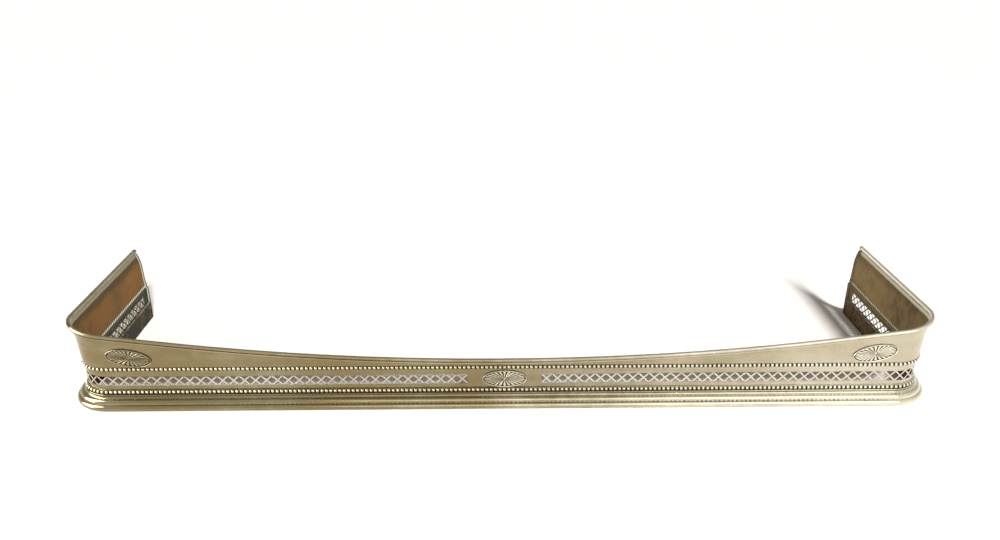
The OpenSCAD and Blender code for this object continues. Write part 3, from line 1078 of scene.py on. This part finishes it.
@dataclass
class Plinth(BeadedBand):
    """The moulded foot: nose, shoulder, hollow, fillet and the seat of the lower beads."""

    name: str = "plinth_moulding"
    kind: str = "plinth"
    foot_out: float = 17.5
    nose_low_r: float = 3.5
    nose_high_r: float = 5.1
    shelf_slope: float = 24.0
    shelf_step: float = 0.35
    shelf_steps: int = 4
    waist: float = 0.8
    shoulder_r: float = 5.4
    shoulder_turn: float = 80.0
    shoulder_back: float = 4.5
    hollow_steps: int = 8
    flange_w: float = 11.0
    fillet_w: float = 2.8
    fillet_h: float = 1.2
    fillet_edge: float = 0.3
    top: float = 27.0
    front_steps: int = 24

    @property
    def ledge_z(self) -> float:
        """The height of the ledge under the beads."""
        return LOWER_BEADS_Z - self.seat_half

    def sheet(self) -> BMesh:
        """Sweeps the moulding.

        Returns:
            Its mesh.
        """
        bm = bmesh.new()
        pen = Pen(bm, (self.foot_out - self.nose_low_r - self.flange_w, 0))
        self._foot(pen)
        self._hollow(pen)
        fillet_u = self.seat_out + self.fillet_w
        pen.line(fillet_u, self.ledge_z - self.fillet_edge, grime_and_shade=0.0)
        pen.line(fillet_u - self.fillet_edge, self.ledge_z)
        # Painted shade on the ledge, darkest in the corner under the beads.
        for beside, over, grime_and_shade in ((1.6, 0.0, 0.3), (0.5, 0.0, 0.8), (0.0, 0.3, 0.9)):
            pen.line(self.seat_out + beside, self.ledge_z + over, grime_and_shade)
        self.seat(pen, LOWER_BEADS_Z, grime_and_shade=0.1)
        pen.line(0, self.top - self.lap, grime_and_shade=0.3)
        pen.line(0, self.top)
        carry(bm, self.front_steps)
        thicken(bm, PLAN.sheet_t)
        return bm

    def _foot(self, pen: Pen) -> None:
        """Draws the flange, the nose, its shelf and the shoulder over it.

        Args:
            pen: The pen, at the flange's edge.
        """
        low, high = self.nose_low_r, self.nose_high_r
        # Painted shade on the flange and under the nose.
        pen.line(self.foot_out - low, 0, grime_and_shade=0.8)
        pen.arc((self.foot_out - low, low), turn=50, steps=5)
        pen.arc((self.foot_out - low, low), turn=40, steps=5, grime_and_shade=0.0)
        pen.arc((self.foot_out - high, low), turn=61, steps=9)
        slope = math.radians(self.shelf_slope)
        for _ in range(self.shelf_steps):
            u, z = pen.reached()
            pen.line(u - self.shelf_step * math.cos(slope), z + self.shelf_step * math.sin(slope))
        waist_u, waist_z = self.foot_out - self.shoulder_back, low + high + self.waist
        # A little painted shade at the waist between the nose and the shoulder.
        pen.line(waist_u + 0.1, pen.reached()[1] + 0.15, grime_and_shade=0.1)
        pen.line(waist_u, waist_z, grime_and_shade=0.2)
        pen.arc((waist_u - self.shoulder_r, waist_z), self.shoulder_turn, steps=10, grime_and_shade=0.0)

    def _hollow(self, pen: Pen) -> None:
        """Draws the hollow between the shoulder and the fillet, with shade painted on it that grows darker
        inwards.

        Args:
            pen: The pen, at the shoulder's end.
        """
        start_u, start_z = pen.reached()
        end_u, end_z = self.seat_out + self.fillet_w, self.ledge_z - self.fillet_h
        for step in range(1, self.hollow_steps + 1):
            angle = math.pi / 2 * step / self.hollow_steps
            u = start_u + (end_u - start_u) * math.sin(angle)
            z = end_z + (start_z - end_z) * math.cos(angle)
            pen.line(u, z, grime_and_shade=0.75 * math.sin(angle) ** 4)


@dataclass
class Rim(Band):
    """The rolled rim: a thin tube, open at its foot where the sheet enters it.

    Its angles are in degrees, with 0 outward and 90 up, and its lengths in millimetres.

    Attributes:
        wall: The tube's wall.
        mouth: Half the angle that is open at its foot.
        sides: How many faces it has round its section.
        cap: How much of each end is painted dark.
        under: The angle below which its front has shade painted underneath, stronger on the left.
        behind: The angle above which its back has shade painted underneath.
        crown: The angles between which its top has painted shade.
        darkening: The angles between which it has painted shade along the left return.
        film: The angles between which a little shade is painted over its highlight, on the right of the
            front.
    """

    name: str = "rolled_rim"
    kind: str = "rim"
    slot: str = "rim_brass"
    sharp: float = 50.0
    wall: float = 0.6
    mouth: float = 23.0
    sides: int = 40
    cap: float = 3.0
    under: float = -6.0
    behind: float = 205.0
    crown: Point = (68.0, 108.0)
    darkening: Point = (30.0, 84.0)
    film: Point = (4.0, 68.0)

    def grime_and_shade(self, angle: float, along: float) -> float:
        """Finds how dark the roll is painted at a place, for shade.

        Args:
            angle: The angle round its section.
            along: The distance along the fender, negative on the left.

        Returns:
            How dark it is painted, from 0 to 1.
        """
        # Painted shade under the roll, in the crease at its back, on its top and along the left return.
        if angle < self.under:
            return 0.95 - 0.5 * min(1.0, max(0.0, (along + 300) / 500))
        if angle > self.behind:
            return 0.95
        if along < -PLAN.straight_half - PLAN.corner_l / 2:
            return 0.95 if self.darkening[0] < angle < self.darkening[1] else 0.0
        if self.crown[0] < angle < self.crown[1]:
            return 0.55
        if not self.film[0] < angle <= self.film[1]:
            return 0.0
        return 0.15 * min(1.0, max(0.0, (along + 200) / 350), max(0.0, (PLAN.straight_half - along) / 60))

    def sheet(self) -> BMesh:
        """Sweeps the roll along the rim line.

        Returns:
            Its mesh.
        """
        bm = bmesh.new()
        turned = bm.verts.layers.float.new("turned")
        first, last = self.mouth - 90, 270 - self.mouth
        pen = Pen(bm, (0, 0))
        pen.tip[turned] = first
        for side in range(1, self.sides + 1):
            pen.line(side, 0)
            pen.tip[turned] = first + (last - first) * side / self.sides
        carry(bm)
        for y in (PLAN.back_y - self.cap, PLAN.back_y - self.cap - 0.5):
            bmesh.ops.bisect_plane(bm, geom=everything(bm), dist=1e-4, plane_co=(0, y, 0),
                                   plane_no=(0, 1, 0))
        for vert in bm.verts:
            station = PLAN.station(vert.co.x, vert.co.y)
            # The ends of the roll are painted dark.
            at_end = vert.co.y > PLAN.back_y - self.cap - 0.1
            vert[pen.soot_and_shade] = 0.95 if at_end else self.grime_and_shade(vert[turned], station.along)
            out, z = PLAN.roll_centre(station.rim)
            angle = math.radians(vert[turned])
            vert.co = station.at(out + PLAN.roll_r * math.cos(angle), z + PLAN.roll_r * math.sin(angle))
        thicken(bm, self.wall)
        return bm


@dataclass
class Gallery(Band):
    """The upright strip whose lattice is pierced in diamonds and triangles.

    Attributes:
        foot: The height of its foot.
        height: How high it stands over that.
        margin: The width of the plain strips over and under the lattice.
        lattice_h: The lattice's height.
        bar_w: The width of its bars.
        front_cells: How many cells each half of the front has.
        corner_cells: How many lie wholly in a corner.
        return_cells: How many lie wholly in a return.
        front_cell: The width of a cell in the front.
        corner_half: Half the width of a cell in a corner.
        return_half: Half the width of a cell in a return.
        wall: The strip's thickness.
        bevel: How far the edges of the openings are rounded.
        lengths: The greatest length of its flat faces in a corner.
    """

    name: str = "pierced_gallery"
    kind: str = "gallery"
    sharp: float = 25.0
    foot: float = 27.0
    height: float = 27.0
    margin: float = 4.8
    lattice_h: float = 14.7
    bar_w: float = 2.2
    front_cells: int = 33
    corner_cells: int = 4
    return_cells: int = 14
    front_cell: float = 15.1
    corner_half: float = 7.505
    return_half: float = 7.55
    wall: float = 0.55
    bevel: float = 0.27
    lengths: float = 3.2

    def sheet(self) -> BMesh:
        """Pierces a flat strip, bevels its bars and bends it round the fender.

        Returns:
            Its mesh.
        """
        bm = bmesh.new()
        openings = self._openings(bm)
        self._margins(bm)
        bmesh.ops.delete(bm, geom=openings, context="FACES")
        bmesh.ops.mirror(bm, geom=everything(bm), axis="X", merge_dist=0.001)
        turn_faces(bm, way=(0, -1, 0))
        bmesh.ops.solidify(bm, geom=bm.faces[:], thickness=self.wall)
        self._round(bm)
        for face in bm.faces:
            if face.normal.y > 0.7:
                face.material_index = Face.INNER.value
        # Painted shade inside the openings, darker towards the back face.
        grime_and_shade = bm.verts.layers.float.new("grime_and_shade")
        for vert in bm.verts:
            vert[grime_and_shade] = min(0.9, max(0.0, vert.co.y / self.wall))
        self._bend(bm)
        return bm

    def _openings(self, bm: BMesh) -> list[BMFace]:
        """Lays out one side of the lattice, flat, with X as the distance along.

        Args:
            bm: The mesh, which is empty.

        Returns:
            The faces that fill the openings.
        """
        widths = [self.front_cell] * self.front_cells + [2 * self.corner_half] * self.corner_cells
        widths += [self.corner_half + self.return_half] + [2 * self.return_half] * self.return_cells
        start = PLAN.straight_half - sum(widths[: self.front_cells])
        low = self.foot + self.margin
        bmesh.ops.create_grid(bm, x_segments=len(widths), y_segments=1, size=0.5)
        columns = sorted({round(vert.co.x, 5) for vert in bm.verts})
        for vert in bm.verts:
            x = start + sum(widths[: columns.index(round(vert.co.x, 5))])
            vert.co = Vector((x, 0, low if vert.co.y < 0 else low + self.lattice_h))
        inner = [edge for edge in bm.edges if not edge.is_boundary]
        ribs = [edge for edge in inner if abs(edge.verts[0].co.x - edge.verts[1].co.x) < 1e-4]
        bmesh.ops.poke(bm, faces=bm.faces[:])
        bmesh.ops.dissolve_edges(bm, edges=ribs)
        made = bmesh.ops.inset_individual(bm, faces=bm.faces[:], thickness=self.bar_w / 2,
                                          use_even_offset=True)
        bars = set(made["faces"])
        self._slide_out(bm, [bar for bar in bars if any(edge.is_boundary for edge in bar.edges)], bars)
        return [face for face in bm.faces if face not in bars]

    def _slide_out(self, bm: BMesh, lips: Sequence[BMFace], bars: set[BMFace]) -> None:
        """Slides the openings at the lattice's border along their bars, out to the border.

        Args:
            bm: The mesh.
            lips: The faces between those openings and the border, which are deleted.
            bars: The faces of all the bars.
        """
        for lip in lips:
            border = next(edge for edge in lip.edges if edge.is_boundary)
            line = (border.verts[1].co - border.verts[0].co).normalized()
            for vert in (vert for vert in lip.verts if vert not in border.verts):
                opening = next(face for face in vert.link_faces if face not in bars)
                tip = next(corner for corner in opening.verts if corner not in lip.verts)
                off = border.verts[0].co - vert.co
                off -= off.dot(line) * line
                way = (vert.co - tip.co).normalized()
                vert.co += way * off.length_squared / way.dot(off)
        bmesh.ops.delete(bm, geom=list(lips), context="FACES")

    def _margins(self, bm: BMesh) -> None:
        """Adds the plain strips under and over the lattice, and then at its two ends.

        Args:
            bm: The mesh, with the lattice of one side.
        """
        low = self.foot + self.margin
        reach = [vert.co.x for vert in bm.verts]
        whole = PLAN.straight_half + PLAN.corner_l + PLAN.return_l
        self._widen(bm, low, Vector((0, 0, self.foot - low)))
        self._widen(bm, low + self.lattice_h, Vector((0, 0, self.height - self.margin - self.lattice_h)))
        self._widen(bm, min(reach), Vector((-min(reach), 0, 0)))
        self._widen(bm, max(reach), Vector((whole - max(reach), 0, 0)))

    def _widen(self, bm: BMesh, place: float, step: Vector) -> None:
        """Extrudes a border of the strip.

        Args:
            bm: The mesh.
            place: Where the border lies, along the axis of the step.
            step: How far it goes.
        """
        axis = 2 if step.z else 0
        edges = [edge for edge in bm.edges if edge.is_boundary
                 and all(abs(vert.co[axis] - place) < 1e-3 for vert in edge.verts)]
        made = bmesh.ops.extrude_edge_only(bm, edges=edges)["geom"]
        bmesh.ops.translate(bm, verts=points(made), vec=step)

    def _round(self, bm: BMesh) -> None:
        """Rounds the edges of the openings on both faces of the strip.

        Args:
            bm: The mesh, with its wall.
        """
        low, high = self.foot + 0.1, self.foot + self.height - 0.1
        edges = []
        for edge in bm.edges:
            within = all(low < vert.co.z < high for vert in edge.verts)
            flat = abs(edge.verts[0].co.y - edge.verts[1].co.y) < 1e-4
            if within and flat and len(edge.link_faces) == 2 and edge.calc_face_angle(0.0) > 1.0:
                edges.append(edge)
        bmesh.ops.bevel(bm, geom=edges, offset=self.bevel, segments=2, profile=0.5, affect="EDGES",
                        material=-1, clamp_overlap=True)

    def _bend(self, bm: BMesh) -> None:
        """Cuts the strip into short lengths at the corners and bends it round the plan.

        Args:
            bm: The mesh, whose X is the distance along the fender.
        """
        count = math.ceil(PLAN.corner_l / self.lengths)
        for side in Side:
            for i in range(count + 1):
                x = side.value * (PLAN.straight_half + PLAN.corner_l * i / count)
                bmesh.ops.bisect_plane(bm, geom=everything(bm), dist=1e-4, plane_co=(x, 0, 0),
                                       plane_no=(1, 0, 0))
        for vert in bm.verts:
            vert.co = PLAN.station_at(vert.co.x).at(-vert.co.y, vert.co.z)


# ---------------------------------------------------------------- the trim


@dataclass
class Beads:
    """The two rows of half round beads along the plinth and the frieze."""

    radius: float = 2.7
    pitch: float = BEAD_PITCH
    seat_out: float = 2.0
    sink: float = 0.4
    rows: Point = (LOWER_BEADS_Z, UPPER_BEADS_Z)

    def build(self, face: bpy.types.Material) -> bpy.types.Object:
        """Sets a bead at each step of both rows.

        Args:
            face: The finish of the beads.

        Returns:
            The piece.
        """
        bm = bmesh.new()
        dome = self._dome()
        for station in self._stations():
            turn = Matrix.Rotation(math.atan2(station.outward.y, station.outward.x), 4, "Z")
            for z in self.rows:
                bead = dome.copy()
                bead.transform(Matrix.Translation(station.at(self.seat_out - self.sink, z)) @ turn)
                bm.from_mesh(bead)
                bpy.data.meshes.remove(bead)
        mark_along(bm)
        return finish_piece(bm, "bead_rows", [face])

    def _dome(self) -> bpy.types.Mesh:
        """Makes one bead, with shade painted round its foot and most of all beside its neighbours.

        Returns:
            The mesh of a half ball whose dome points along +X.
        """
        bm = bmesh.new()
        bmesh.ops.create_uvsphere(bm, u_segments=12, v_segments=10, radius=self.radius,
                                  matrix=Matrix.Rotation(math.pi / 2, 4, "Y"))
        bmesh.ops.delete(bm, geom=[vert for vert in bm.verts if vert.co.x < -0.01], context="VERTS")
        grime_and_shade = bm.verts.layers.float.new("grime_and_shade")
        for vert in bm.verts:
            beside = abs(vert.co.y) / self.radius
            foot = (0.95 - (vert.co.x - self.sink) / 0.5) * beside
            # Painted shade beside the neighbours and round the foot.
            vert[grime_and_shade] = max(0.0, min(0.95, (beside - 0.5) / 0.28), foot)
        return finished(bm, "bead")

    def _stations(self) -> list[Station]:
        """Finds where the beads stand.

        Returns:
            Their places along the fender.
        """
        half, end = PLAN.straight_half, PLAN.straight_half + PLAN.corner_l
        places = self._spaced(-half, half, 2 * half)
        turn_l = (PLAN.corner_r + self.seat_out - self.sink) * math.pi / 2
        one_side = self._spaced(half, end, turn_l) + self._spaced(end, end + PLAN.return_l, PLAN.return_l)
        places += [side.value * along for side in Side for along in one_side]
        return [PLAN.station_at(along) for along in places]

    def _spaced(self, start: float, end: float, length: float) -> list[float]:
        """Returns evenly spaced places between two distances along the neck."""
        count = round(length / self.pitch)
        return [start + (end - start) * (i + 0.5) / count for i in range(count)]


@dataclass
class Patera:
    """An oval patera: a raised border, a dish of petals and a boss.

    Attributes:
        length: Its length.
        height: Its height.
        rise: How far its border stands out.
        border: The border's width.
        border_foot: How far the border's edges stand out.
        dish: How far the dish stands out at its middle.
        dish_rise: How much further it stands out at the border.
        boss: The boss's size, as a share of the whole.
        boss_h: The boss's height over the dish.
        petal_h: The petals' height over the dish.
        petal_w: How much of its step each petal fills.
        petals: How many petals there are.
        steps: How many faces each petal has across.
        rings: How many rings of faces there are.
    """

    length: float = 62.0
    height: float = 26.0
    rise: float = 2.4
    border: float = 1.4
    border_foot: float = 0.9
    dish: float = 0.8
    dish_rise: float = 0.35
    boss: float = 0.07
    boss_h: float = 1.1
    petal_h: float = 1.15
    petal_w: float = 0.62
    petals: int = 26
    steps: int = 10
    rings: int = 44

    @property
    def inner(self) -> float:
        """Where the border starts, as a share of the way out."""
        return 1 - 2 * self.border / self.height

    def _profile(self, q: float, s: float) -> Point:
        """Shapes a point of the patera.

        Args:
            q: How far out the point is, from 0 at the middle to 1 at the outer edge.
            s: Where it is across its petal, from -1 to 1.

        Returns:
            Its height over the frieze, and how dark it is painted, for shade between its petals and at the
            feet of its border and boss.
        """
        if q > self.inner:
            t = 2 * (q - self.inner) / (1 - self.inner) - 1
            proud = math.sqrt(max(0.0, 1 - t * t))
            return self.border_foot + (self.rise - self.border_foot) * proud, 0.6 * (1 - proud) ** 1.5
        dish = self.dish + self.dish_rise * (q / self.inner) ** 2
        if q < self.boss:
            proud = math.sqrt(max(0.0, 1 - (q / self.boss) ** 2))
            return dish + self.boss_h * proud, 0.8 * (1 - proud) ** 2
        tip = self.inner - 0.025 - 0.1 * (1 - math.sqrt(max(0.0, 1 - s * s)))
        ends = max(0.0, min(1.0, (tip - q) / 0.07, (q - self.boss) / 0.10))
        proud = math.sqrt(max(0.0, 1 - (abs(s) / self.petal_w) ** 2.2)) * math.sqrt(ends)
        return dish + self.petal_h * proud, 1.0 - min(1.0, proud * 1.3)

    def _drawn_out(self, point: Vector) -> Vector:
        """Draws a point of the round disc out to the oval, and keeps the border's width.

        Args:
            point: The point.

        Returns:
            Its new place.
        """
        q = math.hypot(point.x, point.y)
        if q < 1e-6:
            return point.copy()
        half_l, half_h = self.length / 2, self.height / 2
        across = half_l - (1 - q) * half_h if q > self.inner else (half_l - self.border) * q / self.inner
        return Vector((point.x / q * across, point.y * half_h, point.z))

    def build(self, name: str, place: Matrix, face: bpy.types.Material) -> bpy.types.Object:
        """Spins a line of points to a disc, raises its petals and draws it out to an oval.

        Args:
            name: The CAD node that the patera stands for.
            place: Where its middle goes, with its face along +Z.
            face: Its finish.

        Returns:
            The piece.
        """
        bm = bmesh.new()
        grime_and_shade = bm.verts.layers.float.new("grime_and_shade")
        verts = [bm.verts.new((ring / self.rings, 0, 0)) for ring in range(self.rings + 1)]
        edges = [bm.edges.new(pair) for pair in zip(verts, verts[1:])]
        bmesh.ops.spin(bm, geom=verts + edges, cent=(0, 0, 0), axis=(0, 0, 1), angle=2 * math.pi,
                       steps=self.petals * self.steps, use_merge=True)
        bmesh.ops.remove_doubles(bm, verts=bm.verts[:], dist=1e-5)
        for vert in bm.verts:
            part = math.atan2(vert.co.y, vert.co.x) / (2 * math.pi) * self.petals
            vert.co.z, vert[grime_and_shade] = self._profile(vert.co.length, 2 * (part - math.floor(part)) - 1)
        rim = [edge for edge in bm.edges if edge.is_boundary]
        # A skirt down to the frieze, painted in shade.
        for vert in points(bmesh.ops.extrude_edge_only(bm, edges=rim)["geom"]):
            vert.co.z = 0.0
            vert[grime_and_shade] = 0.9
        for vert in bm.verts:
            vert.co = self._drawn_out(vert.co)
        turn_faces(bm, way=(0, 0, 1))
        bmesh.ops.transform(bm, matrix=place, verts=bm.verts[:])
        mark_along(bm)
        return finish_piece(bm, f"{name}_oval", [face], [name], sharp=60.0)


@dataclass
class Paterae:
    """The three paterae: one at each end of the frieze and one at the middle of the gallery."""

    end_in: float = 36.0
    tilt: float = 10.5
    end_z: float = 77.6
    centre_z: float = 39.7
    gap: float = 0.1

    def build(self, face: bpy.types.Material) -> None:
        """Builds the three paterae.

        Args:
            face: Their finish.
        """
        patera = Patera()
        out = PLAN.front_y - PLAN.flare_out(self.end_z) - self.gap
        lean = Matrix.Rotation(math.pi / 2 + PLAN.lean_angle, 4, "X")
        for side in Side:
            middle = (side.value * (PLAN.straight_half - self.end_in), out, self.end_z)
            tilt = Matrix.Rotation(math.radians(side.value * self.tilt), 4, "Z")
            patera.build(f"{side.name.lower()}_patera", Matrix.Translation(middle) @ lean @ tilt, face)
        place = Matrix.Translation((0, PLAN.front_y - self.gap, self.centre_z))
        patera.build("centre_patera", place @ Matrix.Rotation(math.pi / 2, 4, "X"), face)


# ---------------------------------------------------------------- the studio


@dataclass
class Studio:
    """The floor, the light and the camera.

    Attributes:
        lens: The camera's focal length, in millimetres.
        sensor: The width of its sensor, in millimetres.
        camera_at: Its place, in metres.
        yaw: How far it is turned to the right, in radians.
        pitch: How far it looks down.
        roll: How far it is tilted.
        tint: The colour of the light from all round.
        fill: The strength of that light.
        ceiling: How bright the ceiling looks in the brass, on the room's side.
        back: How bright it looks behind the fender.
        paper_lit: The floor's colour in the light that it throws on the fender.
        paper_seen: The floor's colour as it is seen.
    """

    lens: float = 31.377
    sensor: float = 36.0
    camera_at: tuple[float, float, float] = (-0.0278939, -1.1907936, 0.6566573)
    yaw: float = 0.0199535
    pitch: float = 0.4041443
    roll: float = 0.0027673
    tint: Colour = (1.0, 0.88, 0.75)
    fill: float = 0.2
    ceiling: float = 0.85
    back: float = 0.5
    paper_lit: Colour = (0.84, 0.83, 0.81)
    paper_seen: Colour = (1.0, 0.975, 0.94)

    def camera(self) -> None:
        """Sets the camera at the photograph's place."""
        data = bpy.data.cameras.new("camera")
        data.lens = self.lens
        data.sensor_width = self.sensor
        camera = place_object("camera", data)
        turn = Matrix.Rotation(-self.yaw, 4, "Z") @ Matrix.Rotation(math.pi / 2 - self.pitch, 4, "X")
        turn = turn @ Matrix.Rotation(self.roll, 4, "Z")
        camera.matrix_world = Matrix.Translation(self.camera_at) @ turn
        bpy.context.scene.camera = camera

    def world(self) -> None:
        """Makes the backdrop white, under a darker ceiling, and lights the room softly."""
        world = bpy.data.worlds.new("studio")
        bpy.context.scene.world = world
        world.use_nodes = True
        net = Net(world.node_tree)
        background = net.tree.nodes["Background"]
        way = net.node("ShaderNodeTexCoord", {}).outputs["Generated"]
        # Y runs from the room's side to the hearth's, and Z from the horizon up.
        parts = net.node("ShaderNodeSeparateXYZ", {0: way}).outputs
        overhead = net.ramp(parts["Y"], -0.2, 0.5, self.ceiling, self.back)
        sky = net.ramp(parts["Z"], 0.1, 0.5, 1.0, overhead)
        camera = net.node("ShaderNodeLightPath", {}).outputs["Is Camera Ray"]
        white = net.math("MAXIMUM", sky, camera)
        net.wire(background, "Color", net.blend(net.seen(), self.tint, (1.0, 1.0, 1.0)))
        net.wire(background, "Strength", net.ramp(net.seen(), 0.0, 1.0, self.fill, white))

    def floor(self) -> None:
        """Lays a pale floor that keeps the fender's shadow."""
        bm = bmesh.new()
        bmesh.ops.create_grid(bm, x_segments=1, y_segments=1, size=30.0)
        mesh = finished(bm, "floor")
        net = Finish("floor_paper")
        colour = net.blend(net.seen(), self.paper_lit, self.paper_seen)
        mesh.materials.append(net.shade(Base_Color=colour, Roughness=0.9))
        place_object("floor", mesh)

    def sun(self, azimuth: float, elevation: float, strength: float, spread: float) -> None:
        """Lights the room from a wide window, far off, that doesn't show in the fender's gloss.

        Args:
            azimuth: Its direction in degrees, from the room's side towards the right.
            elevation: Its height over the horizon in degrees.
            strength: Its strength.
            spread: Its width in degrees.
        """
        data = bpy.data.lights.new("window", "SUN")
        data.energy = strength
        data.angle = math.radians(spread)
        lamp = place_object("window", data)
        lamp.visible_glossy = False
        turn = Matrix.Rotation(math.radians(azimuth), 4, "Z")
        lamp.matrix_world = turn @ Matrix.Rotation(math.radians(90 - elevation), 4, "X")

    def lamp(self, name: str, at: Sequence[float], size: Point, glow: float) -> None:
        """Stands a soft box that points at the fender and shows in its gloss alone.

        Args:
            name: The lamp's name.
            at: Its place, in metres.
            size: Its width and height, in metres.
            glow: How bright its face is, where 1 is white.
        """
        data = bpy.data.lights.new(name, "AREA")
        data.shape = "RECTANGLE"
        data.size, data.size_y = size
        data.energy = glow * math.pi * size[0] * size[1]
        lamp = place_object(name, data)
        lamp.visible_diffuse = False
        aim = Vector((0, 0, 0.05)) - Vector(at)
        lamp.matrix_world = Matrix.Translation(at) @ aim.to_track_quat("-Z", "Y").to_matrix().to_4x4()

    def build(self) -> None:
        """Sets up the whole studio."""
        self.camera()
        self.world()
        self.floor()
        self.sun(azimuth=20, elevation=38, strength=4.75, spread=10)
        self.lamp("front_box", at=(0.5, -1.8, 1.2), size=(2.4, 1.5), glow=1.3)
        self.lamp("left_box", at=(-1.5, -0.3, 0.5), size=(0.7, 1.5), glow=9.0)
        bpy.context.scene.view_settings.view_transform = "Standard"


# ---------------------------------------------------------------- the whole fender


def dress_nodes(iron: bpy.types.Material) -> None:
    """Gives the CAD nodes that stay in view their finish.

    Args:
        iron: The finish of the frame, the strips, the plates, the rivets and the wire.
    """
    kept = five("frame") + ["rim_wire", "end_rivets"]
    kept += [f"{side.name.lower()}_end_{part}" for side in Side for part in ("strip", "plate")]
    for name in kept:
        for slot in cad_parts[name].material_slots:
            slot.material = iron
        LOG.info("%s keeps its CAD shape", name)


def main() -> None:
    """Builds the fender band by band, then the studio."""
    logging.basicConfig(level=logging.INFO, format="%(name)s: %(message)s")
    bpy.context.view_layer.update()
    plain, dark = FriezeBack().make(), LatticeBack().make()
    iron = OldIron().make()
    plinth_brass = Brass("plinth_brass", bright=(0.87, 0.81, 0.62), rough=0.08, waves=0.04,
                         brightens=(-0.2, 0.68), dotted=(7.6, 9.8))
    gallery_brass = Brass("gallery_brass", bright=(0.74, 0.70, 0.59), rubbed_and_sheen=(32.8, 45.5))
    frieze_brass = Brass("frieze_brass", lip=6.5)
    bead_brass = Brass("bead_brass", bright=(1.0, 0.96, 0.84), dull=(0.62, 0.54, 0.36), rough=0.17,
                       waves=0.0)
    rim_brass = Brass("rim_brass", bright=(0.88, 0.83, 0.69), rough=0.25, waves=0.1)
    patera_brass = Brass("patera_brass", bright=(0.97, 0.92, 0.77), dull=(0.36, 0.30, 0.17),
                         rough=0.2, waves=0.0, brightens=(-0.5, 0.5))
    Plinth().build(plinth_brass.make(), dark)
    Gallery().build(gallery_brass.make(), dark)
    Frieze().build(frieze_brass.make(), plain)
    Beads().build(bead_brass.make())
    Rim().build(rim_brass.make(), plain)
    Paterae().build(patera_brass.make())
    dress_nodes(iron)
    Studio().build()


if __name__ == "__main__":
    main()
